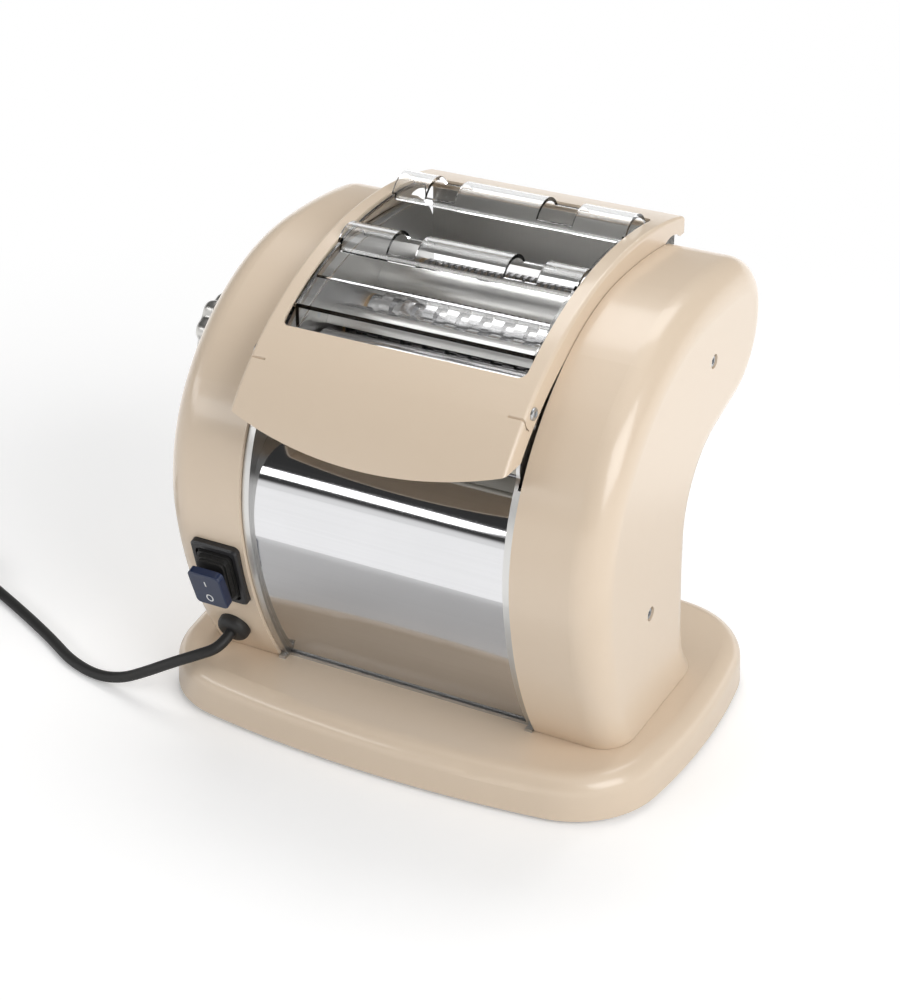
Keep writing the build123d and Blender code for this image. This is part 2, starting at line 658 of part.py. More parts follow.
with BuildPart() as chassis_screws:
    with BuildSketch(Plane.XY.offset(BASE_TOP - BASE_WALL)):
        with GridLocations(2 * CHASSIS_SCREW_X, 2 * CHASSIS_SCREW_Y, 2, 2):
            Circle(FOOT_SCREW_RADIUS)
    extrude(amount=BASE_WALL + CHASSIS_PLATE + PLATE_SHEET)
    with BuildSketch(Plane.XY.offset(BASE_TOP - BASE_WALL)):
        with GridLocations(2 * CHASSIS_SCREW_X, 2 * CHASSIS_SCREW_Y, 2, 2):
            Circle(CHASSIS_SCREW_HEAD)
    extrude(amount=-SCREW_HEAD_HEIGHT)
chassis_screws.part.label = "chassis_screws"
export_step(chassis_screws.part, "parts/chassis_screws.step")

# ------------------------------------------------------------------ side plates and tie rods
with BuildPart() as side_plate:
    with BuildSketch(Plane.YZ.offset(PLATE_INNER_X)):
        make_face(cover_edges(PLATE_INSET))
        with BuildSketch(mode=Mode.PRIVATE) as ear:
            with Locations(HOOD_PIVOT):
                Circle(EAR_RADIUS)
            with Locations(EAR_FOOT):
                Circle(EAR_FOOT_RADIUS)
            make_hull()
        add(ear.sketch_local)
    extrude(amount=PLATE_SHEET)
    # The front lip follows the web's edge, folded outwards.
    with BuildSketch(Plane.YZ.offset(PLATE_OUTER_X)):
        make_face(cover_edges(PLATE_INSET))
        make_face(cover_edges(PLATE_INSET + PLATE_SHEET), mode=Mode.SUBTRACT)
        with Locations((COVER_POINTS[0][0], (LIP_TOP + CHASSIS_TOP) / 2)):
            Rectangle(2 * (PANEL_START[0] - COVER_POINTS[0][0]), LIP_TOP - CHASSIS_TOP, mode=Mode.INTERSECT)
    extrude(amount=LIP_OUTER_X - PLATE_OUTER_X)
    split(bisect_by=Plane.XY.offset(CHASSIS_TOP), keep=Keep.TOP)
    with BuildSketch(Plane.XY.offset(CHASSIS_TOP)):
        with Locations((PLATE_OUTER_X + PLATE_FOOT / 2, (PLATE_FOOT_FRONT + PLATE_FOOT_REAR) / 2)):
            Rectangle(PLATE_FOOT, PLATE_FOOT_REAR - PLATE_FOOT_FRONT)
    extrude(amount=PLATE_SHEET)
    with BuildSketch(Plane.XY.offset(CHASSIS_TOP)):
        with GridLocations(2 * CHASSIS_SCREW_X, 2 * CHASSIS_SCREW_Y, 2, 2):
            Circle(FOOT_SCREW_RADIUS)
    extrude(amount=PLATE_SHEET, mode=Mode.SUBTRACT)
    with BuildSketch(Plane.YZ.offset(PLATE_INNER_X)):
        with Locations(SMOOTH_FRONT, WIDE_FRONT, WIDE_REAR, FINE_FRONT, FINE_REAR):
            Circle(BUSH_RADIUS)
        with Locations((SMOOTH_REAR[0] - SMOOTH_TRAVEL / 2, SMOOTH_REAR[1])):
            SlotCenterToCenter(SMOOTH_TRAVEL, 2 * BUSH_RADIUS)
        with Locations(*TIE_RODS):
            Circle(TIE_THREAD_RADIUS)
        with Locations(HOOD_PIVOT):
            Circle(PIVOT_SCREW_RADIUS)
    extrude(amount=PLATE_SHEET, mode=Mode.SUBTRACT)

gearbox_screw_places = [
    (
        MOTOR_AXIS[0] + GEARBOX_SCREW_CIRCLE * cos(angle),
        MOTOR_AXIS[1] + GEARBOX_SCREW_CIRCLE * sin(angle),
    )
    for angle in GEARBOX_SCREW_ANGLES
]

with BuildPart() as right_side_plate:
    add(side_plate.part)
    with BuildSketch(Plane.YZ.offset(PLATE_INNER_X)):
        with Locations(DRIVE_CENTRE):
            Circle(STUD_RADIUS)
        with Locations(PINION_CENTRE):
            Circle(PILOT_RADIUS)
        with Locations(COVER_SCREWS[1]):
            Circle(COVER_SCREW_RADIUS)
        with Locations(*GEAR_PLATE_POSTS, *gearbox_screw_places):
            Circle(SMALL_SCREW_RADIUS)
    extrude(amount=PLATE_SHEET, mode=Mode.SUBTRACT)
right_side_plate.part.label = "right_side_plate"
export_step(right_side_plate.part, "parts/right_side_plate.step")

with BuildPart() as left_side_plate:
    add(mirror(side_plate.part, about=Plane.YZ))
    with BuildSketch(Plane.YZ.offset(-PLATE_OUTER_X)):
        with Locations(*COVER_SCREWS):
            Circle(COVER_SCREW_RADIUS)
    extrude(amount=PLATE_SHEET, mode=Mode.SUBTRACT)
    with BuildSketch(axle_plane(-PLATE_OUTER_X, SMOOTH_REAR)):
        with PolarLocations(BRACKET_POST_CIRCLE, BRACKET_POSTS, start_angle=90):
            Circle(SMALL_SCREW_RADIUS)
    extrude(amount=PLATE_SHEET, mode=Mode.SUBTRACT)
left_side_plate.part.label = "left_side_plate"
export_step(left_side_plate.part, "parts/left_side_plate.step")

with BuildPart() as tie_rods:
    for place in TIE_RODS:
        add(turned(place, [
            (-PLATE_OUTER_X - TIE_NUT_HEIGHT, PLATE_OUTER_X + TIE_NUT_HEIGHT, TIE_THREAD_RADIUS),
            (-PLATE_INNER_X, PLATE_INNER_X, TIE_ROD_RADIUS),
        ]))
tie_rods.part.label = "tie_rods"
export_step(tie_rods.part, "parts/tie_rods.step")

with BuildPart() as tie_rod_nuts:
    with BuildSketch(Plane.YZ.offset(PLATE_OUTER_X)):
        with Locations(*TIE_RODS):
            RegularPolygon(TIE_NUT / 2, 6, major_radius=False)
            Circle(TIE_THREAD_RADIUS, mode=Mode.SUBTRACT)
    extrude(amount=TIE_NUT_HEIGHT)
    mirror(about=Plane.YZ)
tie_rod_nuts.part.label = "tie_rod_nuts"
export_step(tie_rod_nuts.part, "parts/tie_rod_nuts.step")


# ------------------------------------------------------------------ side covers
def side_cover(upper_foot):
    """Right side cover with two screw bosses, the upper one reaching in to the given x."""
    with BuildPart() as cover:
        add(cover_block(0))
        add(cover_block(COVER_WALL), mode=Mode.SUBTRACT)
        for place, foot in zip(COVER_SCREWS, (upper_foot, PLATE_OUTER_X)):
            with BuildSketch(axle_plane(foot, place)):
                Circle(COVER_BOSS_RADIUS)
            extrude(amount=COVER_OUTER_X - COVER_WALL - foot)
        with BuildSketch(Plane.YZ.offset(COVER_OUTER_X)):
            with Locations(*COVER_SCREWS):
                Circle(COVER_SCREW_RADIUS + HOLE_CLEARANCE)
        extrude(amount=PLATE_OUTER_X - COVER_OUTER_X, mode=Mode.SUBTRACT)
        with BuildSketch(Plane.YZ.offset(COVER_OUTER_X)):
            with Locations(*COVER_SCREWS):
                Circle(COVER_SCREW_HEAD + 2 * HOLE_CLEARANCE)
        extrude(amount=-COVER_SCREW_SINK, mode=Mode.SUBTRACT)
    return cover.part


def front_face_plane(x, z):
    """Plane on the front of a side cover at the given height, facing outwards."""
    front_arc = ThreePointArc(COVER_START, COVER_START_MID, COVER_POINTS[0], mode=Mode.PRIVATE)
    centre = front_arc.arc_center
    y = centre.X - sqrt(front_arc.radius**2 - (z - centre.Y) ** 2)
    return Plane(origin=(x, y, z), x_dir=(1, 0, 0), z_dir=(0, y - centre.X, z - centre.Y))


switch_plane = front_face_plane(SWITCH_X, SWITCH_Z)
gland_plane = front_face_plane(GLAND_X, GLAND_Z)
switch_pivot = switch_plane.offset(ROCKER_PIVOT).origin
rocker_plane = switch_plane.offset(ROCKER_PIVOT).rotated((ROCKER_TILT, 0, 0))

with BuildPart() as right_side_cover:
    add(side_cover(GEAR_PLATE_X + GEAR_PLATE_SHEET))
right_side_cover.part.label = "right_side_cover"
export_step(right_side_cover.part, "parts/right_side_cover.step")

with BuildPart() as left_side_cover:
    add(mirror(side_cover(PLATE_OUTER_X), about=Plane.YZ))
    with BuildSketch(axle_plane(-COVER_OUTER_X, SMOOTH_REAR)):
        Circle(ADJUSTER_RADIUS + HOLE_CLEARANCE)
    extrude(amount=COVER_WALL, mode=Mode.SUBTRACT)
    with BuildSketch(switch_plane.offset(-SWITCH_SEAT)):
        RectangleRounded(
            SWITCH_WIDTH + PRESS_GAP,
            SWITCH_HEIGHT + PRESS_GAP,
            SWITCH_BEZEL + PRESS_GAP / 2,
        )
    extrude(amount=COVER_WALL, mode=Mode.SUBTRACT)
    with BuildSketch(switch_plane.offset(-2 * COVER_WALL)):
        Rectangle(SWITCH_CUTOUT_WIDTH, SWITCH_CUTOUT_HEIGHT)
    extrude(amount=3 * COVER_WALL, mode=Mode.SUBTRACT)
    with BuildSketch(gland_plane.offset(-2 * COVER_WALL)):
        Circle(GLAND_SLEEVE_RADIUS)
    extrude(amount=3 * COVER_WALL, mode=Mode.SUBTRACT)
left_side_cover.part.label = "left_side_cover"
export_step(left_side_cover.part, "parts/left_side_cover.step")


def cover_screw(place, foot):
    """Screw in a side cover's boss, with its tip at the given x."""
    seat = COVER_OUTER_X - COVER_SCREW_SINK
    return turned(place, [
        (foot, seat, COVER_SCREW_RADIUS),
        (seat, seat + SCREW_HEAD_HEIGHT, COVER_SCREW_HEAD),
    ])


with BuildPart() as cover_screws:
    add(cover_screw(COVER_SCREWS[0], GEAR_PLATE_X))
    add(both_sides(cover_screw(COVER_SCREWS[1], PLATE_INNER_X)))
    add(mirror(cover_screw(COVER_SCREWS[0], PLATE_INNER_X), about=Plane.YZ))
cover_screws.part.label = "cover_screws"
export_step(cover_screws.part, "parts/cover_screws.step")


# ------------------------------------------------------------------ hood
def hood_block(inset):
    """Solid under the hood's outer surface, with its long edges folded round, drawn in by the inset."""
    with BuildPart() as block:
        with BuildSketch(Plane.YZ.offset(inset - HOOD_OUTER_X)):
            make_face(hood_edges(inset))
            with Locations((HOOD_REAR[0] - inset, HOOD_REAR[1])):
                Rectangle(
                    4 * HOOD_OUTER_X,
                    4 * HOOD_OUTER_X,
                    align=(Align.MAX, Align.CENTER),
                    mode=Mode.INTERSECT,
                )
        extrude(amount=2 * (HOOD_OUTER_X - inset))
        ends = block.faces().filter_by(Axis.X)
        fillet(ends.edges().filter_by(GeomType.CIRCLE), HOOD_FOLD - inset)
    return block.part


with BuildPart() as hood:
    add(hood_block(0))
    add(hood_block(HOOD_SHEET), mode=Mode.SUBTRACT)
    # Side flanges, the apron's lower edge and the rear drop.
    with BuildSketch(Plane.YZ.offset(-HOOD_OUTER_X)):
        make_face(hood_edges(HOOD_FLANGE))
        with Locations(HOOD_NOTCH):
            Circle(HOOD_NOTCH_RADIUS)
        with Locations((HOOD_REAR[0], HOOD_REAR[1] - HOOD_REAR_DROP)):
            Rectangle(HOOD_DEPTH, HOOD_DEPTH, align=(Align.MAX, Align.MAX))
    extrude(amount=2 * HOOD_OUTER_X, mode=Mode.SUBTRACT)
    with BuildSketch(Plane.XZ.offset(-HOOD_PIVOT[0])):
        with BuildLine():
            ThreePointArc((-HOOD_OUTER_X, APRON_SIDE_Z), (0, APRON_MID_Z), (HOOD_OUTER_X, APRON_SIDE_Z))
            Polyline(
                (HOOD_OUTER_X, APRON_SIDE_Z),
                (HOOD_OUTER_X, 0),
                (-HOOD_OUTER_X, 0),
                (-HOOD_OUTER_X, APRON_SIDE_Z),
            )
        make_face()
    extrude(amount=HOOD_DEPTH, mode=Mode.SUBTRACT)
    with BuildSketch(Plane.XY.offset(HOOD_PIVOT[1])):
        with Locations((0, (OPENING_FRONT_Y + OPENING_REAR_Y) / 2)):
            RectangleRounded(2 * OPENING_HALF, OPENING_REAR_Y - OPENING_FRONT_Y, OPENING_CORNER)
    extrude(amount=HOOD_DEPTH, mode=Mode.SUBTRACT)
    # A slot through each flange and a little way across the top frees the tab round the pivot screw.
    tab_slope = atan2(HOOD_CREST_FRONT[1] - HOOD_PIVOT[1], HOOD_CREST_FRONT[0] - HOOD_PIVOT[0])
    for start_x in (-HOOD_OUTER_X, HOOD_OUTER_X - TAB_SLOT_REACH):
        with BuildSketch(axle_plane(start_x, HOOD_PIVOT)):
            Circle(TAB_RADIUS + TAB_SLOT)
            Circle(TAB_RADIUS, mode=Mode.SUBTRACT)
            Rectangle(
                HOOD_DEPTH,
                HOOD_DEPTH,
                rotation=degrees(tab_slope) - 90,
                align=(Align.MAX, Align.MAX),
                mode=Mode.INTERSECT,
            )
            Circle(PIVOT_SCREW_RADIUS + PIVOT_FIT)
        extrude(amount=TAB_SLOT_REACH, mode=Mode.SUBTRACT)
hood.part.label = "hood"
export_step(hood.part, "parts/hood.step")

with BuildPart() as hood_pivot_screws:
    add(both_sides(turned(HOOD_PIVOT, [
        (PLATE_INNER_X, HOOD_OUTER_X + PIVOT_HEAD_GAP, PIVOT_SCREW_RADIUS),
        (
            HOOD_OUTER_X + PIVOT_HEAD_GAP,
            HOOD_OUTER_X + PIVOT_HEAD_GAP + SCREW_HEAD_HEIGHT,
            PIVOT_SCREW_HEAD,
        ),
    ])))
hood_pivot_screws.part.label = "hood_pivot_screws"
export_step(hood_pivot_screws.part, "parts/hood_pivot_screws.step")

# ------------------------------------------------------------------ clear guard in the hood's opening
ridge_radius = ((RIDGE_WIDTH / 2) ** 2 + RIDGE_HEIGHT**2) / (2 * RIDGE_HEIGHT)

with BuildPart() as clear_guard:
    # Right half of the side wall, of the rail under the hood and of the flat front bar.
    for start_x, end_x, depth, end_y in (
        (GUARD_HALF - GUARD_SHEET, GUARD_HALF, GUARD_WALL_DEPTH, GUARD_REAR),
        (GUARD_HALF - GUARD_SHEET, GUARD_RAIL_HALF, HOOD_SHEET + GUARD_SHEET, GUARD_REAR),
        (0, GUARD_HALF, HOOD_SHEET + GUARD_SHEET, GUARD_BAR_REAR),
    ):
        with BuildSketch(Plane.YZ.offset(start_x)):
            make_face(hood_edges(HOOD_SHEET))
            make_face(hood_edges(depth), mode=Mode.SUBTRACT)
            with Locations((GUARD_BAR_FRONT, HOOD_TOP[1])):
                Rectangle(
                    end_y - GUARD_BAR_FRONT,
                    HOOD_DEPTH,
                    align=(Align.MIN, Align.CENTER),
                    mode=Mode.INTERSECT,
                )
        extrude(amount=end_x - start_x)
    mirror(about=Plane.YZ)
    # Two arched ridges, each broken into three lengths that low strips tie together.
    for (ridge_y, ridge_top), gaps in (
        (FRONT_RIDGE_TOP, FRONT_RIDGE_GAPS),
        (REAR_RIDGE_TOP, REAR_RIDGE_GAPS),
    ):
        with BuildSketch(axle_plane(-GUARD_HALF, (ridge_y, ridge_top - ridge_radius))):
            Circle(ridge_radius)
            Circle(ridge_radius - GUARD_SHEET, mode=Mode.SUBTRACT)
            with Locations((0, ridge_radius - RIDGE_HEIGHT)):
                Rectangle(
                    RIDGE_WIDTH,
                    RIDGE_HEIGHT,
                    align=(Align.CENTER, Align.MIN),
                    mode=Mode.INTERSECT,
                )
        extrude(amount=2 * GUARD_HALF)
        for start_x, end_x in gaps:
            with BuildSketch(axle_plane(start_x, (ridge_y, ridge_top - RIDGE_HEIGHT + RIDGE_TIE))):
                Rectangle(2 * RIDGE_WIDTH, RIDGE_HEIGHT, align=(Align.CENTER, Align.MIN))
            extrude(amount=end_x - start_x, mode=Mode.SUBTRACT)
clear_guard.part.label = "clear_guard"
export_step(clear_guard.part, "parts/clear_guard.step")


# ------------------------------------------------------------------ rollers
def smooth_roller(centre, end_x):
    """Plain sheeting roller with a journal at each end."""
    return turned(centre, [
        (JOURNAL_LEFT_X, end_x, JOURNAL_RADIUS),
        (-BARREL_HALF, BARREL_HALF, SMOOTH_RADIUS),
    ])


def cutter(centre, end_x, core_radius, ring_radius, pitch, first_ring_x, rings):
    """Cutting roller: a core with equally spaced rings, and a journal at each end."""
    ring_width = pitch / 2 - 2 * RING_SIDE_GAP
    ring_starts = [first_ring_x + ring * pitch - ring_width / 2 for ring in range(rings)]
    with BuildPart() as roller:
        add(turned(centre, [
            (JOURNAL_LEFT_X, end_x, JOURNAL_RADIUS),
            (-BARREL_HALF, BARREL_HALF, core_radius),
        ]))
        with BuildSketch(*[axle_plane(x, centre) for x in ring_starts]):
            Circle(ring_radius)
        extrude(amount=ring_width)
    return roller.part


FRONT_SHAFT_END = GEAR_END + SHAFT_PROUD
REAR_SHAFT_END = GEAR_PLANE_1 + GEAR_WIDTH + SHAFT_PROUD
WIDE_REACH = WIDE_PITCH * ((WIDE_RINGS - 1) / 2)
FINE_REACH = FINE_PITCH * ((FINE_RINGS - 1) / 2)

with BuildPart() as smooth_roller_front:
    add(smooth_roller(SMOOTH_FRONT, FRONT_SHAFT_END))
smooth_roller_front.part.label = "smooth_roller_front"
export_step(smooth_roller_front.part, "parts/smooth_roller_front.step")

with BuildPart() as smooth_roller_rear:
    add(smooth_roller(SMOOTH_REAR, REAR_SHAFT_END))
smooth_roller_rear.part.label = "smooth_roller_rear"
export_step(smooth_roller_rear.part, "parts/smooth_roller_rear.step")

with BuildPart() as wide_cutter_front:
    add(cutter(WIDE_FRONT, FRONT_SHAFT_END, WIDE_CORE, WIDE_RADIUS, WIDE_PITCH, -WIDE_REACH, WIDE_RINGS))
wide_cutter_front.part.label = "wide_cutter_front"
export_step(wide_cutter_front.part, "parts/wide_cutter_front.step")

with BuildPart() as wide_cutter_rear:
    add(cutter(
        WIDE_REAR,
        REAR_SHAFT_END,
        WIDE_CORE,
        WIDE_RADIUS,
        WIDE_PITCH,
        WIDE_PITCH / 2 - WIDE_REACH,
        WIDE_RINGS - 1,
    ))
wide_cutter_rear.part.label = "wide_cutter_rear"
export_step(wide_cutter_rear.part, "parts/wide_cutter_rear.step")

with BuildPart() as fine_cutter_front:
    add(cutter(FINE_FRONT, FRONT_SHAFT_END, FINE_CORE, FINE_RADIUS, FINE_PITCH, -FINE_REACH, FINE_RINGS))
fine_cutter_front.part.label = "fine_cutter_front"
export_step(fine_cutter_front.part, "parts/fine_cutter_front.step")

with BuildPart() as fine_cutter_rear:
    add(cutter(
        FINE_REAR,
        REAR_SHAFT_END,
        FINE_CORE,
        FINE_RADIUS,
        FINE_PITCH,
        FINE_PITCH / 2 - FINE_REACH,
        FINE_RINGS - 1,
    ))
fine_cutter_rear.part.label = "fine_cutter_rear"
export_step(fine_cutter_rear.part, "parts/fine_cutter_rear.step")

with BuildPart() as roller_bushes:
    for centre in (SMOOTH_FRONT, WIDE_FRONT, WIDE_REAR, FINE_FRONT, FINE_REAR):
        add(both_sides(turned(centre, [
            (PLATE_INNER_X - BUSH_FLANGE_SHEET, PLATE_INNER_X, BUSH_FLANGE),
            (PLATE_INNER_X, BUSH_END_X, BUSH_RADIUS),
        ], bore=JOURNAL_RADIUS + RUNNING_FIT)))
roller_bushes.part.label = "roller_bushes"
export_step(roller_bushes.part, "parts/roller_bushes.step")

with BuildPart() as adjustable_bearings:
    add(both_sides(turned(SMOOTH_REAR, [
        (PLATE_INNER_X - BUSH_FLANGE_SHEET, PLATE_INNER_X - BEARING_FACE_GAP, BUSH_FLANGE),
        (PLATE_INNER_X - BEARING_FACE_GAP, PLATE_OUTER_X + BEARING_FACE_GAP, BUSH_RADIUS - RUNNING_FIT),
        (PLATE_OUTER_X + BEARING_FACE_GAP, BUSH_END_X, BUSH_FLANGE),
    ], bore=JOURNAL_RADIUS + RUNNING_FIT)))
adjustable_bearings.part.label = "adjustable_bearings"
export_step(adjustable_bearings.part, "parts/adjustable_bearings.step")


# ------------------------------------------------------------------ gear train
def front_gear(centre, teeth, phase):
    """Gear of a front roller, wide enough for both planes of the train."""
    return roller_gear(centre, teeth, phase, GEAR_PLANE_1, GEAR_END - GEAR_PLANE_1, JOURNAL_RADIUS)


def rear_gear(centre, teeth, phase):
    """Gear of a rear roller, in the inner plane of the train."""
    return roller_gear(centre, teeth, phase, GEAR_PLANE_1, GEAR_WIDTH, JOURNAL_RADIUS)


with BuildPart() as smooth_front_gear:
    add(front_gear(SMOOTH_FRONT, SMOOTH_TEETH, SMOOTH_FRONT_PHASE))
smooth_front_gear.part.label = "smooth_front_gear"
export_step(smooth_front_gear.part, "parts/smooth_front_gear.step")

with BuildPart() as smooth_rear_gear:
    add(rear_gear(SMOOTH_REAR, SMOOTH_TEETH, SMOOTH_REAR_PHASE))
smooth_rear_gear.part.label = "smooth_rear_gear"
export_step(smooth_rear_gear.part, "parts/smooth_rear_gear.step")

with BuildPart() as wide_front_gear:
    add(front_gear(WIDE_FRONT, WIDE_TEETH, WIDE_FRONT_PHASE))
wide_front_gear.part.label = "wide_front_gear"
export_step(wide_front_gear.part, "parts/wide_front_gear.step")

with BuildPart() as wide_rear_gear:
    add(rear_gear(WIDE_REAR, WIDE_TEETH, WIDE_REAR_PHASE))
wide_rear_gear.part.label = "wide_rear_gear"
export_step(wide_rear_gear.part, "parts/wide_rear_gear.step")

with BuildPart() as fine_front_gear:
    add(front_gear(FINE_FRONT, FINE_TEETH, FINE_FRONT_PHASE))
fine_front_gear.part.label = "fine_front_gear"
export_step(fine_front_gear.part, "parts/fine_front_gear.step")

with BuildPart() as fine_rear_gear:
    add(rear_gear(FINE_REAR, FINE_TEETH, FINE_REAR_PHASE))
fine_rear_gear.part.label = "fine_rear_gear"
export_step(fine_rear_gear.part, "parts/fine_rear_gear.step")

with BuildPart() as drive_gear:
    add(roller_gear(DRIVE_CENTRE, DRIVE_TEETH, DRIVE_PHASE, GEAR_PLANE_2, GEAR_WIDTH, HUB_RADIUS))
    add(turned(DRIVE_CENTRE, [(DRIVE_HUB_X, GEAR_END, HUB_RADIUS)], bore=STUD_RADIUS + RUNNING_FIT))
drive_gear.part.label = "drive_gear"
export_step(drive_gear.part, "parts/drive_gear.step")

with BuildPart() as idler_gear:
    add(roller_gear(
        IDLER_CENTRE,
        IDLER_TEETH,
        IDLER_PHASE,
        GEAR_PLANE_2,
        GEAR_WIDTH,
        STUD_RADIUS + RUNNING_FIT,
    ))
idler_gear.part.label = "idler_gear"
export_step(idler_gear.part, "parts/idler_gear.step")

with BuildPart() as output_pinion:
    add(roller_gear(PINION_CENTRE, PINION_TEETH, PINION_PHASE, GEAR_PLANE_2, GEAR_WIDTH, JOURNAL_RADIUS))
output_pinion.part.label = "output_pinion"
export_step(output_pinion.part, "parts/output_pinion.step")

with BuildPart() as gear_studs:
    add(turned(DRIVE_CENTRE, [
        (PLATE_INNER_X, GEAR_PLATE_X + GEAR_PLATE_SHEET, STUD_RADIUS),
        (PLATE_OUTER_X, DRIVE_HUB_X - GEAR_END_PLAY, STUD_SHOULDER),
        (GEAR_END + GEAR_END_PLAY, GEAR_PLATE_X, STUD_SHOULDER),
    ]))
    add(turned(IDLER_CENTRE, [
        (IDLER_STUD_X, GEAR_PLATE_X + GEAR_PLATE_SHEET, STUD_RADIUS),
        (IDLER_STUD_X, GEAR_PLANE_2 - GEAR_END_PLAY, STUD_SHOULDER),
        (GEAR_END + GEAR_END_PLAY, GEAR_PLATE_X, STUD_SHOULDER),
    ]))
gear_studs.part.label = "gear_studs"
export_step(gear_studs.part, "parts/gear_studs.step")

with BuildPart() as gear_plate:
    with BuildSketch(Plane.YZ.offset(GEAR_PLATE_X)):
        with Locations(*GEAR_PLATE_POSTS):
            Circle(2 * POST_RADIUS)
        make_hull()
        with Locations(*GEAR_PLATE_POSTS):
            Circle(SMALL_SCREW_RADIUS, mode=Mode.SUBTRACT)
        with Locations(DRIVE_CENTRE, IDLER_CENTRE):
            Circle(STUD_RADIUS, mode=Mode.SUBTRACT)
        with Locations(COVER_SCREWS[0]):
            Circle(COVER_SCREW_RADIUS, mode=Mode.SUBTRACT)
    extrude(amount=GEAR_PLATE_SHEET)
gear_plate.part.label = "gear_plate"
export_step(gear_plate.part, "parts/gear_plate.step")

with BuildPart() as gear_plate_posts:
    for place in GEAR_PLATE_POSTS:
        add(turned(place, [(PLATE_OUTER_X, GEAR_PLATE_X, POST_RADIUS)], bore=SMALL_SCREW_RADIUS))
gear_plate_posts.part.label = "gear_plate_posts"
export_step(gear_plate_posts.part, "parts/gear_plate_posts.step")

# ------------------------------------------------------------------ motor and gearbox
gearbox_x = PLATE_INNER_X - GEARBOX_DEPTH
motor_x = 2 * MOTOR_CAP + MOTOR_END_ROOM - PLATE_INNER_X

with BuildPart() as output_shaft:
    add(turned(PINION_CENTRE, [(gearbox_x + GEARBOX_WALL, GEAR_END + SHAFT_PROUD, JOURNAL_RADIUS)]))
output_shaft.part.label = "output_shaft"
export_step(output_shaft.part, "parts/output_shaft.step")

with BuildPart() as gearbox_case:
    with BuildSketch(Plane.YZ.offset(gearbox_x)):
        with Locations(MOTOR_AXIS):
            Circle(GEARBOX_LARGE)
        with Locations(PINION_CENTRE):
            Circle(GEARBOX_SMALL)
        make_hull()
    extrude(amount=GEARBOX_DEPTH)
    with BuildSketch(Plane.YZ.offset(gearbox_x)):
        with Locations(MOTOR_AXIS):
            Circle(GEARBOX_LARGE - GEARBOX_WALL)
        with Locations(PINION_CENTRE):
            Circle(GEARBOX_SMALL - GEARBOX_WALL)
        make_hull()
    extrude(amount=GEARBOX_DEPTH - GEARBOX_WALL, mode=Mode.SUBTRACT)
    with BuildSketch(Plane.YZ.offset(PLATE_INNER_X - GEARBOX_WALL)):
        with Locations(*gearbox_screw_places):
            Circle(GEARBOX_BOSS)
    extrude(amount=GEARBOX_WALL - GEARBOX_DEPTH)
    with BuildSketch(Plane.YZ.offset(PLATE_INNER_X)):
        with Locations(PINION_CENTRE):
            Circle(PILOT_RADIUS)
    extrude(amount=PILOT_END_X - PLATE_INNER_X)
    with BuildSketch(Plane.YZ.offset(PILOT_END_X)):
        with Locations(PINION_CENTRE):
            Circle(JOURNAL_RADIUS + RUNNING_FIT)
    extrude(amount=gearbox_x - PILOT_END_X, mode=Mode.SUBTRACT)
    with BuildSketch(Plane.YZ.offset(PLATE_INNER_X)):
        with Locations(*gearbox_screw_places):
            Circle(SMALL_SCREW_RADIUS)
    extrude(amount=-GEARBOX_SCREW_LENGTH, mode=Mode.SUBTRACT)
gearbox_case.part.label = "gearbox_case"
export_step(gearbox_case.part, "parts/gearbox_case.step")

with BuildPart() as gearbox_lid:
    with BuildSketch(Plane.YZ.offset(gearbox_x)):
        with Locations(MOTOR_AXIS):
            Circle(GEARBOX_LARGE)
        with Locations(PINION_CENTRE):
            Circle(GEARBOX_SMALL)
        make_hull()
    extrude(amount=-GEARBOX_LID)
gearbox_lid.part.label = "gearbox_lid"
export_step(gearbox_lid.part, "parts/gearbox_lid.step")

with BuildPart() as motor_can:
    add(turned(MOTOR_AXIS, [(motor_x, gearbox_x - GEARBOX_LID, MOTOR_RADIUS)]))
motor_can.part.label = "motor_can"
export_step(motor_can.part, "parts/motor_can.step")

with BuildPart() as motor_end_cap:
    add(turned(MOTOR_AXIS, [
        (motor_x - MOTOR_CAP, motor_x, MOTOR_RADIUS - MOTOR_CAP_STEP),
        (motor_x - 2 * MOTOR_CAP, motor_x - MOTOR_CAP, MOTOR_CAP),
    ]))
motor_end_cap.part.label = "motor_end_cap"
export_step(motor_end_cap.part, "parts/motor_end_cap.step")

with BuildPart() as motor_cradle:
    with BuildSketch(Plane.YZ.offset(CRADLE_START_X)):
        with Locations((MOTOR_AXIS[0], CHASSIS_TOP)):
            Rectangle(2 * CRADLE_HALF, CRADLE_TOP - CHASSIS_TOP, align=(Align.CENTER, Align.MIN))
        with Locations(MOTOR_AXIS):
            Circle(MOTOR_RADIUS, mode=Mode.SUBTRACT)
    extrude(amount=CRADLE_WIDTH)
motor_cradle.part.label = "motor_cradle"
export_step(motor_cradle.part, "parts/motor_cradle.step")


def small_screw(place, tip_x, seat_x):
    """Screw along X through a plate, with its head standing on the seat."""
    return turned(place, [
        (tip_x, seat_x, SMALL_SCREW_RADIUS),
        (seat_x, seat_x + SCREW_HEAD_HEIGHT, SMALL_SCREW_HEAD),
    ])


with BuildPart() as drive_train_screws:
    for place in gearbox_screw_places:
        add(small_screw(place, PLATE_INNER_X - GEARBOX_SCREW_LENGTH, PLATE_OUTER_X))
    for place in GEAR_PLATE_POSTS:
        add(small_screw(place, PLATE_INNER_X, GEAR_PLATE_X + GEAR_PLATE_SHEET))
drive_train_screws.part.label = "drive_train_screws"
export_step(drive_train_screws.part, "parts/drive_train_screws.step")


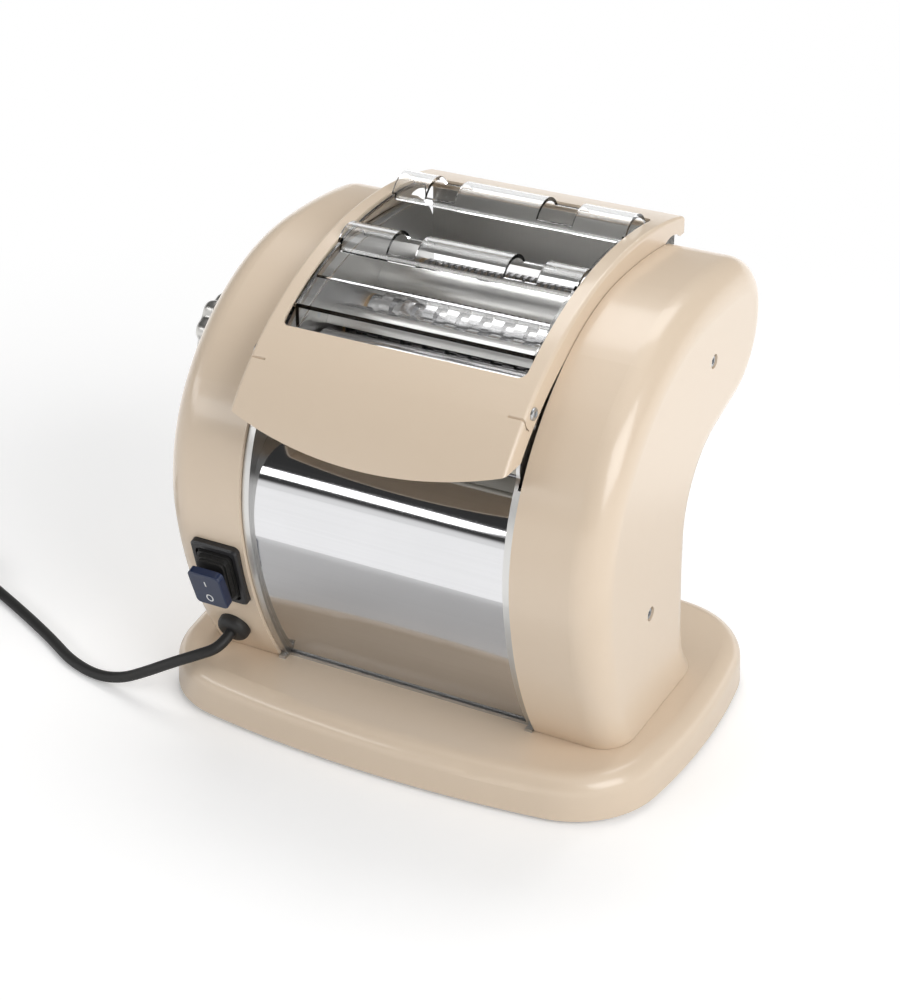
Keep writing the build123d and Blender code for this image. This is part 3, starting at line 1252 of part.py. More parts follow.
# ------------------------------------------------------------------ panels, guides, scrapers and combs
def between_plates(part_edges):
    """Sheet of the given edge view, spanning from one side plate to the other."""
    with BuildPart() as sheet:
        with BuildSketch(Plane.YZ.offset(-PANEL_HALF)):
            make_face(part_edges)
        extrude(amount=2 * PANEL_HALF)
    return sheet.part


def reach_point(centre, radius, angle):
    """Point at a distance and an angle from a (Y, Z) centre."""
    return (centre[0] + radius * cos(angle), centre[1] + radius * sin(angle))


with BuildPart() as front_panel:
    add(between_plates(sheet_edges(PANEL_START, PANEL_START_MID, PANEL_POINTS, PANEL_SHEET)))
front_panel.part.label = "front_panel"
export_step(front_panel.part, "parts/front_panel.step")

with BuildPart() as rear_panel:
    add(between_plates(sheet_edges(REAR_PANEL_START, REAR_PANEL_MID, REAR_PANEL_POINTS, PANEL_SHEET)))
rear_panel.part.label = "rear_panel"
export_step(rear_panel.part, "parts/rear_panel.step")

with BuildPart() as roller_guides:
    for guide in (FRONT_GUIDE, MIDDLE_GUIDE, REAR_GUIDE):
        start, middle, end = [(y, SMOOTH_REAR[1] + rise) for y, rise in guide]
        add(between_plates(sheet_edges(start, middle, [end], GUIDE_SHEET)))
roller_guides.part.label = "roller_guides"
export_step(roller_guides.part, "parts/roller_guides.step")

with BuildPart() as roller_scrapers:
    for bar, centre, angle in (
        (FRONT_SCRAPER_BAR, SMOOTH_FRONT, FRONT_SCRAPER_ANGLE),
        (REAR_SCRAPER_BAR, SMOOTH_REAR, REAR_SCRAPER_ANGLE),
    ):
        add(turned(bar, [(-PLATE_INNER_X, PLATE_INNER_X, SCRAPER_BAR_RADIUS)]))
        with BuildSketch(Plane.YZ.offset(-BARREL_HALF)):
            with Locations(bar, reach_point(centre, SMOOTH_RADIUS + SCRAPER_GAP + SCRAPER_TIP_RADIUS, angle)):
                Circle(SCRAPER_TIP_RADIUS)
            make_hull()
        extrude(amount=2 * BARREL_HALF)
roller_scrapers.part.label = "roller_scrapers"
export_step(roller_scrapers.part, "parts/roller_scrapers.step")


def comb(bar, centre, core_radius, angle, finger_width, finger_places):
    """Bar with a row of fingers that reach between a cutter's rings to just below its core."""
    bar_place = (bar[0], SMOOTH_REAR[1] - bar[1])
    with BuildPart() as piece:
        add(turned(bar_place, [(-PLATE_INNER_X, PLATE_INNER_X, COMB_BAR_RADIUS)]))
        with BuildSketch(*[Plane.YZ.offset(x - finger_width / 2) for x in finger_places]):
            with Locations(bar_place, reach_point(centre, core_radius + COMB_GAP + COMB_TIP_RADIUS, angle)):
                Circle(COMB_TIP_RADIUS)
            make_hull()
        extrude(amount=finger_width)
    return piece.part


wide_ring_places = [WIDE_PITCH * ring - WIDE_REACH for ring in range(WIDE_RINGS)]
wide_gap_places = [x + WIDE_PITCH / 2 for x in wide_ring_places[:-1]]
fine_ring_places = [FINE_PITCH * ring - FINE_REACH for ring in range(FINE_RINGS)]
fine_gap_places = [x + FINE_PITCH / 2 for x in fine_ring_places[:-1]]
wide_finger = WIDE_PITCH / 2 - 2 * COMB_GAP
fine_finger = FINE_PITCH / 2 - 2 * COMB_GAP

with BuildPart() as cutter_combs:
    add(comb(WIDE_COMB_BARS[0], WIDE_FRONT, WIDE_CORE, COMB_ANGLES[0], wide_finger, wide_gap_places))
    add(comb(WIDE_COMB_BARS[1], WIDE_REAR, WIDE_CORE, COMB_ANGLES[1], wide_finger, wide_ring_places[1:-1]))
    add(comb(FINE_COMB_BARS[0], FINE_FRONT, FINE_CORE, COMB_ANGLES[0], fine_finger, fine_gap_places))
    add(comb(FINE_COMB_BARS[1], FINE_REAR, FINE_CORE, COMB_ANGLES[1], fine_finger, fine_ring_places[1:-1]))
cutter_combs.part.label = "cutter_combs"
export_step(cutter_combs.part, "parts/cutter_combs.step")

# ------------------------------------------------------------------ thickness adjuster
knob_x = -COVER_OUTER_X - SCALE_DISC - KNOB_STANDOFF
adjuster_start_x = knob_x - KNOB_SOCKET + HOLE_CLEARANCE

with BuildPart() as adjuster_shaft:
    add(turned(SMOOTH_REAR, [(adjuster_start_x, ECCENTRIC_X + ECCENTRIC_WIDTH, ADJUSTER_RADIUS)]))
    with BuildSketch(axle_plane(ECCENTRIC_X, (SMOOTH_REAR[0] + SMOOTH_TRAVEL / 2, SMOOTH_REAR[1]))):
        Circle(ECCENTRIC_RADIUS)
    extrude(amount=ECCENTRIC_WIDTH)
adjuster_shaft.part.label = "adjuster_shaft"
export_step(adjuster_shaft.part, "parts/adjuster_shaft.step")

with BuildPart() as adjuster_bracket:
    with BuildSketch(axle_plane(BRACKET_X, SMOOTH_REAR)):
        Circle(BRACKET_RADIUS)
        Circle(ADJUSTER_RADIUS + RUNNING_FIT, mode=Mode.SUBTRACT)
    extrude(amount=PLATE_SHEET)
    with BuildSketch(axle_plane(BRACKET_X + PLATE_SHEET, SMOOTH_REAR)):
        with PolarLocations(BRACKET_POST_CIRCLE, BRACKET_POSTS, start_angle=90):
            Circle(POST_RADIUS)
    extrude(amount=-PLATE_OUTER_X - BRACKET_X - PLATE_SHEET)
    with BuildSketch(axle_plane(-PLATE_OUTER_X, SMOOTH_REAR)):
        with PolarLocations(BRACKET_POST_CIRCLE, BRACKET_POSTS, start_angle=90):
            Circle(SMALL_SCREW_RADIUS)
    extrude(amount=PLATE_SHEET)
adjuster_bracket.part.label = "adjuster_bracket"
export_step(adjuster_bracket.part, "parts/adjuster_bracket.step")

with BuildPart() as scale_disc:
    add(turned(
        SMOOTH_REAR,
        [(-COVER_OUTER_X - SCALE_DISC, -COVER_OUTER_X, SCALE_DISC_RADIUS)],
        bore=ADJUSTER_RADIUS + HOLE_CLEARANCE,
    ))
scale_disc.part.label = "scale_disc"
export_step(scale_disc.part, "parts/scale_disc.step")

with BuildPart() as thickness_knob:
    with BuildSketch(axle_plane(knob_x, SMOOTH_REAR)) as knob_outline:
        Circle(KNOB_RADIUS)
        with PolarLocations(KNOB_SCALLOP_CIRCLE, KNOB_LOBES):
            Circle(KNOB_SCALLOP, mode=Mode.SUBTRACT)
        fillet(knob_outline.vertices(), KNOB_EDGE)
    extrude(amount=-KNOB_LENGTH)
    fillet(thickness_knob.faces().sort_by(Axis.X)[0].edges(), KNOB_EDGE)
    with BuildSketch(axle_plane(knob_x, SMOOTH_REAR)):
        Circle(ADJUSTER_RADIUS)
    extrude(amount=-KNOB_SOCKET, mode=Mode.SUBTRACT)
thickness_knob.part.label = "thickness_knob"
export_step(thickness_knob.part, "parts/thickness_knob.step")

# ------------------------------------------------------------------ switch
with BuildPart() as switch_body:
    with BuildSketch(switch_plane.offset(-SWITCH_SEAT)):
        RectangleRounded(SWITCH_WIDTH, SWITCH_HEIGHT, SWITCH_BEZEL)
    extrude(amount=SWITCH_SEAT + SWITCH_BEZEL)
    bezel_face = switch_body.faces().sort_by_distance(switch_plane.offset(SWITCH_BEZEL).origin)[0]
    chamfer(bezel_face.edges(), SWITCH_CHAMFER)
    with BuildSketch(switch_plane):
        RectangleRounded(BOOT_WIDTH, BOOT_HEIGHT, SWITCH_BEZEL)
    extrude(amount=SWITCH_BEZEL, mode=Mode.SUBTRACT)
    with BuildSketch(switch_plane):
        Rectangle(SWITCH_CUTOUT_WIDTH - PRESS_GAP, SWITCH_CUTOUT_HEIGHT - PRESS_GAP)
    extrude(amount=-SWITCH_BODY_DEPTH)
    with BuildSketch(switch_plane):
        Rectangle(SWITCH_POCKET_WIDTH, SWITCH_POCKET_HEIGHT)
    extrude(amount=-SWITCH_POCKET_DEPTH, mode=Mode.SUBTRACT)
    with BuildSketch(Plane(origin=switch_pivot, x_dir=switch_plane.y_dir, z_dir=(1, 0, 0))):
        Circle(TRUNNION_RADIUS + RUNNING_FIT)
    extrude(amount=TRUNNION_REACH + RUNNING_FIT, both=True, mode=Mode.SUBTRACT)
switch_body.part.label = "switch_body"
export_step(switch_body.part, "parts/switch_body.step")

with BuildPart() as switch_boot:
    # Bellows: three folds, each a wide band above a narrow one.
    for fold in range(BOOT_FOLDS):
        fold_height = BOOT_TOP / BOOT_FOLDS
        fold_inset = fold * BOOT_STEP
        for band_inset, top in ((BOOT_GROOVE, 1.0), (0, 0.5)):
            with BuildSketch(switch_plane.offset(fold * fold_height)):
                RectangleRounded(
                    BOOT_WIDTH - 2 * (fold_inset + band_inset),
                    BOOT_HEIGHT - 2 * (fold_inset + band_inset),
                    SWITCH_BEZEL,
                )
            extrude(amount=fold_height * top)
    with BuildSketch(switch_plane):
        Rectangle(BOOT_OPENING_WIDTH, BOOT_OPENING_HEIGHT)
    extrude(amount=BOOT_TOP, mode=Mode.SUBTRACT)
switch_boot.part.label = "switch_boot"
export_step(switch_boot.part, "parts/switch_boot.step")

with BuildPart() as switch_rocker:
    with BuildSketch(rocker_plane.offset(ROCKER_TOP - ROCKER_CAP - ROCKER_PIVOT)):
        RectangleRounded(ROCKER_WIDTH, ROCKER_HEIGHT, ROCKER_CORNER)
    extrude(amount=ROCKER_CAP)
    rocker_top = rocker_plane.offset(ROCKER_TOP - ROCKER_PIVOT).origin
    rocker_face = switch_rocker.faces().sort_by_distance(rocker_top)[0]
    fillet(rocker_face.edges(), SWITCH_CHAMFER)
    with BuildSketch(rocker_plane.offset(-ROCKER_STEM)):
        Rectangle(ROCKER_STEM_WIDTH, ROCKER_STEM_WIDTH)
    extrude(amount=ROCKER_TOP - ROCKER_CAP - ROCKER_PIVOT + ROCKER_STEM)
    with BuildSketch(Plane(origin=switch_pivot, x_dir=switch_plane.y_dir, z_dir=(1, 0, 0))):
        Circle(TRUNNION_RADIUS)
    extrude(amount=TRUNNION_REACH, both=True)
switch_rocker.part.label = "switch_rocker"
export_step(switch_rocker.part, "parts/switch_rocker.step")

# ------------------------------------------------------------------ cable gland, mains lead and plug
with BuildPart() as cable_gland:
    with BuildSketch(gland_plane.offset(-PLATE_SHEET)):
        Circle(GLAND_RADIUS)
    extrude(amount=GLAND_LENGTH + PLATE_SHEET)
    fillet(cable_gland.faces().sort_by(Axis.Y)[0].edges(), GLAND_DOME)
    add(left_side_cover.part, mode=Mode.SUBTRACT)
    with BuildSketch(gland_plane):
        Circle(GLAND_SLEEVE_RADIUS)
    extrude(amount=-GLAND_SLEEVE_LENGTH)
cable_gland.part.label = "cable_gland"
export_step(cable_gland.part, "parts/cable_gland.step")


def route_radii(points):
    """Arc radius at each corner of a route: a share of the shorter run over the tangent of half the turn."""
    radii = []
    for before, corner, after in zip(points, points[1:], points[2:]):
        arriving = Vector(*corner) - Vector(*before)
        leaving = Vector(*after) - Vector(*corner)
        half_turn = radians(arriving.get_angle(leaving)) / 2
        radii.append(CORD_ARC_SHARE * min(arriving.length, leaving.length) / tan(half_turn))
    return radii


with BuildPart() as mains_cord:
    with BuildLine() as cord_route:
        FilletPolyline(*CORD_ROUTE, radius=route_radii(CORD_ROUTE))
    with BuildSketch(Plane(origin=cord_route.line @ 0, z_dir=cord_route.line % 0)):
        Circle(CORD_RADIUS)
    sweep(path=cord_route.line)
mains_cord.part.label = "mains_cord"
export_step(mains_cord.part, "parts/mains_cord.step")
print("cord radii", [round(radius, 1) for radius in route_radii(CORD_ROUTE)])
cord_length = sum(edge.length for edge in cord_route.edges())
print("cord volume", mains_cord.part.volume, "section x length", pi * CORD_RADIUS**2 * cord_length)

with BuildPart() as cord_coil:
    with BuildSketch(Plane(origin=(*COIL_CENTRE, 0), x_dir=(1, 0, 0), z_dir=(0, -1, 0))):
        with Locations((COIL_RADIUS, COIL_LAYERS * CORD_RADIUS)):
            RectangleRounded(4 * CORD_RADIUS, 2 * COIL_LAYERS * CORD_RADIUS, CORD_RADIUS - PRESS_GAP)
    revolve(axis=Axis((*COIL_CENTRE, 0), (0, 0, 1)))
cord_coil.part.label = "cord_coil"
export_step(cord_coil.part, "parts/cord_coil.step")

plug_x = COIL_CENTRE[0] - COIL_RADIUS - CORD_RADIUS


def plug_plane(y):
    """Plane across the plug at the given y, facing its pins."""
    return Plane(origin=(plug_x, y, PLUG_RADIUS), x_dir=(1, 0, 0), z_dir=(0, -1, 0))


with BuildPart() as mains_plug:
    with BuildSketch(plug_plane(PLUG_TAIL_Y)):
        Circle(CORD_RADIUS + PLUG_TAIL_WALL)
    with BuildSketch(plug_plane(PLUG_FACE_Y)):
        Circle(PLUG_TAIL_RADIUS)
    loft()
    with BuildSketch(plug_plane(PLUG_FACE_Y)):
        Circle(PLUG_RADIUS)
    extrude(amount=PLUG_LENGTH)
    fillet(mains_plug.faces().sort_by(Axis.Y)[0].edges(), PLUG_EDGE)
    with BuildSketch(plug_plane(PLUG_FACE_Y - PLUG_LENGTH)):
        with GridLocations(PLUG_PIN_PITCH, 0, 2, 1):
            Circle(PLUG_PIN_RADIUS)
    extrude(amount=PLUG_PIN_LENGTH)
mains_plug.part.label = "mains_plug"
export_step(mains_plug.part, "parts/mains_plug.step")
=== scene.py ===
import json
from math import cos, pi, radians, sin

import bmesh
import bpy
import numpy as np
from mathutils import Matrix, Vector


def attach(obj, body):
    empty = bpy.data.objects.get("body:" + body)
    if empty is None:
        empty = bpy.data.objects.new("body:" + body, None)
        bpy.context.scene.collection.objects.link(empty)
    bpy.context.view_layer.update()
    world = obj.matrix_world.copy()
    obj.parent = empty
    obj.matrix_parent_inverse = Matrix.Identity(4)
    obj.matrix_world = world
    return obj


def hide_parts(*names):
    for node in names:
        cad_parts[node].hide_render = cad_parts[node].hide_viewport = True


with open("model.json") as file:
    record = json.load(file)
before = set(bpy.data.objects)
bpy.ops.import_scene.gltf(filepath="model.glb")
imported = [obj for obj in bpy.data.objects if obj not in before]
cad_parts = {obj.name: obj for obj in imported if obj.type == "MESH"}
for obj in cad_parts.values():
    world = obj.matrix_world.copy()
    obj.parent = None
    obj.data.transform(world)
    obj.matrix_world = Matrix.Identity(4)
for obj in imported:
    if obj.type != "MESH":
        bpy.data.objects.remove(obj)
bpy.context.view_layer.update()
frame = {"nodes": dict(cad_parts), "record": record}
nodes = frame["nodes"]

# An electric pasta maker, in metres. +X to the right as the user faces it, +Y to the back, +Z up.
MM = 0.001


# ------------------------------------------------------------------ camera
CAMERA_TARGET = Vector((-5.74, -0.25, 107.82)) * MM
CAMERA_DISTANCE = 1182.85 * MM
CAMERA_AZIMUTH = radians(28.02)
CAMERA_ELEVATION = radians(28.75)
CAMERA_LENS = 81.36
CAMERA_CLIP_END = 20.0

camera_data = bpy.data.cameras.new("camera")
camera = bpy.data.objects.new("camera", camera_data)
bpy.context.scene.collection.objects.link(camera)
camera_back = Vector((
    sin(CAMERA_AZIMUTH) * cos(CAMERA_ELEVATION),
    -cos(CAMERA_AZIMUTH) * cos(CAMERA_ELEVATION),
    sin(CAMERA_ELEVATION),
))
camera.location = CAMERA_TARGET + camera_back * CAMERA_DISTANCE
camera.rotation_mode = "QUATERNION"
camera.rotation_quaternion = (-camera_back).to_track_quat("-Z", "Y")
camera_data.lens = CAMERA_LENS
camera_data.clip_end = CAMERA_CLIP_END
bpy.context.scene.camera = camera
bpy.context.scene.view_settings.view_transform = "Standard"


# ------------------------------------------------------------------ shader maths
# Sockets of a colour Mix node. Its three kinds of value share their names, so they are told apart by index.
MIX_FIRST_COLOUR = 6
MIX_SECOND_COLOUR = 7
MIX_COLOUR_RESULT = 2


class Signal:
    """One output of a shader's node tree, with arithmetic."""

    def __init__(self, shader, socket):
        self.shader = shader
        self.socket = socket

    def math(self, operation, *others):
        return self.shader.node("ShaderNodeMath", {"operation": operation}, dict(enumerate((self, *others))))

    def __add__(self, other):
        return self.math("ADD", other)

    __radd__ = __add__

    def __mul__(self, other):
        return self.math("MULTIPLY", other)

    __rmul__ = __mul__

    def __sub__(self, other):
        return self.math("SUBTRACT", other)

    def __rsub__(self, other):
        return (self * -1.0) + other

    def __pow__(self, other):
        return self.math("POWER", other)

    def above(self, edge, width):
        """0 below the edge and 1 past its width, with a smooth step between."""
        return self.shader.node(
            "ShaderNodeMapRange",
            {"interpolation_type": "SMOOTHSTEP"},
            {"Value": self, "From Min": edge, "From Max": edge + width},
        )

    def clamped(self):
        return self.shader.node("ShaderNodeClamp", {}, {"Value": self})


class Shader:
    """The node tree of a material or of the world."""

    def __init__(self, owner):
        owner.use_nodes = True
        self.tree = owner.node_tree
        self.tree.nodes.clear()

    def node(self, kind, settings=None, values=None, output=0):
        """New node of a type, with its settings made first, then the values or links of its sockets."""
        made = self.tree.nodes.new(kind)
        for name, value in (settings or {}).items():
            setattr(made, name, value)
        for name, value in (values or {}).items():
            socket = made.inputs[name]
            if isinstance(value, Signal):
                self.tree.links.new(value.socket, socket)
            else:
                socket.default_value = value
        return Signal(self, made.outputs[output]) if made.outputs else None

    def place(self):
        """Object coordinates, in metres."""
        return self.node("ShaderNodeTexCoord", {}, {}, "Object")

    def stretched(self, scale):
        """Object coordinates times a scale along each axis."""
        return self.node("ShaderNodeVectorMath", {"operation": "MULTIPLY"}, {0: self.place(), 1: scale})

    def noise(self, scale, detail=2.0, roughness=0.5, vector=None):
        """Soft noise about 0.5, with the given number of blobs per metre."""
        return self.node(
            "ShaderNodeTexNoise",
            {},
            {"Vector": vector or self.place(), "Scale": scale, "Detail": detail, "Roughness": roughness},
        )

    def specks(self, scale, vector=None):
        """Distance to scattered points, with the given number of points per metre."""
        return self.node("ShaderNodeTexVoronoi", {}, {"Vector": vector or self.place(), "Scale": scale})

    def blend(self, factor, first, second):
        """Colour that runs from the first to the second with the factor."""
        mixed = self.node("ShaderNodeMix", {"data_type": "RGBA"}, {"Factor": factor}, MIX_COLOUR_RESULT)
        made = mixed.socket.node
        for index, colour in ((MIX_FIRST_COLOUR, first), (MIX_SECOND_COLOUR, second)):
            if isinstance(colour, Signal):
                self.tree.links.new(colour.socket, made.inputs[index])
            else:
                made.inputs[index].default_value = (*colour, 1.0)
        return mixed

    def bump(self, height, distance, strength=1.0, under=None):
        """Normal tilted by a height, where 1 stands for the distance in metres."""
        values = {"Height": height, "Distance": distance, "Strength": strength}
        if under:
            values["Normal"] = under
        return self.node("ShaderNodeBump", {}, values)

    def principled(self, **values):
        """Principled surface, with underscores in the sockets' names for spaces."""
        named = {name.replace("_", " "): value for name, value in values.items()}
        if not isinstance(named["Base Color"], Signal):
            named["Base Color"] = (*named["Base Color"], 1.0)
        return self.node("ShaderNodeBsdfPrincipled", {}, named)

    def surface(self, shader):
        self.node("ShaderNodeOutputMaterial", {}, {"Surface": shader})


def new_material(name):
    """Empty material and its shader."""
    material = bpy.data.materials.new(name)
    return material, Shader(material)


# ------------------------------------------------------------------ finishes
CREAM = (0.775, 0.640, 0.497)
CREAM_DEEP = (0.740, 0.600, 0.455)
BRUSHED_SHADE = 0.86


def cream(name, peel_height):
    """Glossy cream coat: a fine orange peel under a clear gloss, with faint cloudiness in the colour."""
    material, s = new_material(name)
    cloud = s.noise(9.0, 4.0)
    fine = s.noise(160.0, 3.0, 0.6)
    colour = s.blend((cloud * 0.7 + fine * 0.3).clamped(), CREAM_DEEP, CREAM)
    peel = s.noise(900.0, 2.0)
    dust = s.specks(2600.0).above(0.05, 0.12)
    rough = 0.27 + cloud * 0.10 + (1.0 - dust) * 0.12
    s.surface(s.principled(
        Base_Color=colour,
        Roughness=rough,
        Coat_Weight=0.35,
        Coat_Roughness=0.12,
        Normal=s.bump(peel, peel_height),
    ))
    return material


def brushed(name, colour, scale, roughness, depth, blotch=0.08):
    """Metal with fine lines: noise drawn out along one axis by a small scale there."""
    material, s = new_material(name)
    lines = s.noise(1.0, 3.0, 0.6, s.stretched(scale))
    blotches = s.noise(35.0, 3.0)
    darker = tuple(channel * BRUSHED_SHADE for channel in colour)
    s.surface(s.principled(
        Base_Color=s.blend((lines * 0.6 + blotches * 0.4).clamped(), darker, colour),
        Metallic=1.0,
        Roughness=roughness - 0.05 + lines * 0.10 + blotches * blotch,
        Normal=s.bump(lines, depth),
    ))
    return material


def zinc(name):
    """Zinc plate: a pale blue-grey metal with faint crystal patches."""
    material, s = new_material(name)
    patches = s.specks(420.0)
    cloud = s.noise(60.0, 3.0)
    s.surface(s.principled(
        Base_Color=s.blend(cloud, (0.42, 0.44, 0.47), (0.60, 0.61, 0.62)),
        Metallic=1.0,
        Roughness=0.30 + patches * 0.14,
        Normal=s.bump(patches, 0.02 * MM),
    ))
    return material


def bronze(name):
    """Sintered bronze, with open pores."""
    material, s = new_material(name)
    pores = s.specks(1800.0).above(0.12, 0.25)
    cloud = s.noise(80.0, 3.0)
    s.surface(s.principled(
        Base_Color=s.blend(pores, (0.16, 0.10, 0.05), (0.53, 0.36, 0.19)),
        Metallic=1.0,
        Roughness=0.38 + cloud * 0.15,
        Normal=s.bump(pores, 0.05 * MM),
    ))
    return material


def moulded(name, dark, light, roughness, grain_scale, grain_depth, coat=0.0):
    """Moulded plastic or rubber with a fine grain."""
    material, s = new_material(name)
    grain = s.noise(grain_scale, 3.0, 0.6)
    cloud = s.noise(30.0, 2.0)
    s.surface(s.principled(
        Base_Color=s.blend((grain * 0.4 + cloud * 0.6).clamped(), dark, light),
        Roughness=roughness - 0.06 + cloud * 0.12,
        Coat_Weight=coat,
        Normal=s.bump(grain, grain_depth),
    ))
    return material


def clear(name):
    """Clear moulded plastic with a faint unevenness and fine handling marks."""
    material, s = new_material(name)
    swell = s.noise(55.0, 2.0)
    marks = s.noise(1.0, 4.0, 0.6, s.stretched((300.0, 2600.0, 2600.0)))
    s.surface(s.principled(
        Base_Color=(0.97, 0.975, 0.975),
        Roughness=0.02 + marks.above(0.66, 0.2) * 0.06,
        IOR=1.47,
        Transmission_Weight=1.0,
        Normal=s.bump(swell, 0.04 * MM),
    ))
    return material


def silver(name):
    """Silver-plated plastic, softly bright."""
    material, s = new_material(name)
    cloud = s.noise(50.0, 3.0)
    grain = s.noise(1400.0, 2.0)
    s.surface(s.principled(
        Base_Color=s.blend(cloud, (0.47, 0.46, 0.44), (0.58, 0.57, 0.55)),
        Metallic=0.9,
        Roughness=0.30 + cloud * 0.10,
        Normal=s.bump(grain, 0.008 * MM),
    ))
    return material


def print_white(name):
    """White printed marks, a little worn."""
    material, s = new_material(name)
    wear = s.noise(2500.0, 2.0)
    s.surface(s.principled(
        Base_Color=s.blend(wear, (0.62, 0.64, 0.66), (0.86, 0.87, 0.88)),
        Roughness=0.5 + wear * 0.1,
        Normal=s.bump(wear, 0.01 * MM),
    ))
    return material


FINISHES = {
    "cream_plastic": cream("cream_plastic_moulding", peel_height=0.020 * MM),
    "cream_paint": cream("cream_enamel", peel_height=0.028 * MM),
    "polished_steel": brushed(
        "polished_sheet",
        colour=(0.60, 0.60, 0.61),
        scale=(6.0, 900.0, 900.0),
        roughness=0.07,
        depth=0.0008 * MM,
        blotch=0.02,
    ),
    "satin_steel": brushed(
        "satin_sheet",
        colour=(0.60, 0.595, 0.58),
        scale=(900.0, 40.0, 40.0),
        roughness=0.30,
        depth=0.004 * MM,
    ),
    "nickel_steel": brushed(
        "nickel_rollers",
        colour=(0.57, 0.565, 0.57),
        scale=(1400.0, 12.0, 12.0),
        roughness=0.11,
        depth=0.0012 * MM,
        blotch=0.04,
    ),
    "zinc_steel": zinc("zinc_plate"),
    "bush_bronze": bronze("sintered_bronze"),
    "gear_nylon": moulded(
        "natural_nylon",
        dark=(0.70, 0.67, 0.58),
        light=(0.80, 0.77, 0.69),
        roughness=0.42,
        grain_scale=700.0,
        grain_depth=0.02 * MM,
    ),
    "clear_plastic": clear("clear_moulding"),
    "silver_plastic": silver("silver_plating"),
    "black_plastic": moulded(
        "black_moulding",
        dark=(0.008, 0.008, 0.009),
        light=(0.018, 0.018, 0.020),
        roughness=0.38,
        grain_scale=1500.0,
        grain_depth=0.03 * MM,
    ),
    "blue_plastic": moulded(
        "blue_rocker_moulding",
        dark=(0.006, 0.014, 0.045),
        light=(0.010, 0.024, 0.075),
        roughness=0.32,
        grain_scale=900.0,
        grain_depth=0.006 * MM,
        coat=0.15,
    ),
    "black_rubber": moulded(
        "black_rubber_skin",
        dark=(0.009, 0.009, 0.009),
        light=(0.020, 0.019, 0.018),
        roughness=0.52,
        grain_scale=1100.0,
        grain_depth=0.04 * MM,
    ),
}
PRINT = print_white("printed_marks")

slot_of = {entry["node"]: entry["material_slot"] for entry in frame["record"]["subparts"]}
for node_name, node in nodes.items():
    node.data.materials.clear()
    node.data.materials.append(FINISHES[slot_of[node_name]])


# ------------------------------------------------------------------ pieces from surfaces
def new_piece(name, mesh_or_curve, material):
    """Object for a finished mesh or curve, with its finish."""
    piece = bpy.data.objects.new(name, mesh_or_curve)
    bpy.context.scene.collection.objects.link(piece)
    mesh_or_curve.materials.clear()
    mesh_or_curve.materials.append(material)
    return piece


def skin(name, rows, close_ends=True):
    """Mesh of a grid of points, rows by columns, whose columns run round and join.

    Closed ends meet in a pole.
    """
    count, across = rows.shape[:2]
    points = rows.reshape(-1, 3)
    row, column = np.meshgrid(np.arange(count - 1), np.arange(across), indexing="ij")
    following = (column + 1) % across
    quads = np.stack(
        [
            row * across + column,
            row * across + following,
            (row + 1) * across + following,
            (row + 1) * across + column,
        ],
        axis=-1,
    ).reshape(-1, 4)
    faces = quads.tolist()
    if close_ends:
        first, last = len(points), len(points) + 1
        points = np.vstack([points, rows[0].mean(axis=0), rows[-1].mean(axis=0)])
        ring = np.arange(across)
        turn = (ring + 1) % across
        base = (count - 1) * across
        faces += np.stack([np.full(across, first), turn, ring], axis=-1).tolist()
        faces += np.stack([np.full(across, last), base + ring, base + turn], axis=-1).tolist()
    mesh = bpy.data.meshes.new(name)
    mesh.from_pydata(points.tolist(), [], faces)
    work = bmesh.new()
    work.from_mesh(mesh)
    bmesh.ops.recalc_face_normals(work, faces=work.faces)
    work.to_mesh(mesh)
    work.free()
    mesh.polygons.foreach_set("use_smooth", np.ones(len(mesh.polygons), bool))
    return mesh


# ------------------------------------------------------------------ mains lead
CORD_RADIUS = 3.0
CORD_ROUTE = [
    (-95.5, -78.1, 42.4),
    (-96.0, -87.0, 38.4),
    (-106.5, -93.0, 34.0),
    (-121.0, -97.0, 27.0),
    (-137.0, -98.5, 17.3),
    (-154.0, -98.0, 7.5),
    (-172.0, -96.5, 3.0),
    (-193.0, -91.0, 3.0),
    (-214.0, -79.0, 3.0),
    (-238.0, -67.0, 3.0),
    (-265.0, -54.5, 3.0),
    (-298.0, -40.0, 3.0),
    (-331.0, -36.0, 3.0),
]
COIL_CENTRE = (-335.0, -75.0)
COIL_INNER = 33.0
COIL_OUTER = 39.0
COIL_PLACES = [
    (COIL_OUTER, 3.0),
    (COIL_INNER, 3.0),
    (COIL_INNER, 9.0),
    (COIL_OUTER, 9.0),
    (COIL_INNER, 15.0),
    (COIL_OUTER, 15.0),
]
COIL_STEPS = 16
COIL_START = pi / 2
COIL_TURN = radians(315)
PLUG_TAIL = (-374.0, -80.0, 17.0)


def coil_points():
    """Points of the put-away turns.

    Each turn keeps to its own place in the bundle and steps over at its end.
    """
    points = []
    for turn, (radius, height) in enumerate(COIL_PLACES):
        for step in range(COIL_STEPS):
            if turn == 0 and step == 0:
                continue
            angle = COIL_START + COIL_TURN * (turn + step / COIL_STEPS)
            points.append((
                COIL_CENTRE[0] + radius * cos(angle),
                COIL_CENTRE[1] + radius * sin(angle),
                height,
            ))
    return points


def cord_curve(name, points):
    """Round cord on a smooth spline with the points as its control points."""
    curve = bpy.data.curves.new(name, "CURVE")
    curve.dimensions = "3D"
    spline = curve.splines.new("NURBS")
    spline.points.add(len(points) - 1)
    flat = [coordinate for point in points for coordinate in (*(value * MM for value in point), 1.0)]
    spline.points.foreach_set("co", flat)
    spline.order_u = 3
    spline.use_endpoint_u = True
    spline.resolution_u = 8
    curve.bevel_depth = CORD_RADIUS * MM
    curve.bevel_resolution = 6
    curve.use_fill_caps = True
    return curve


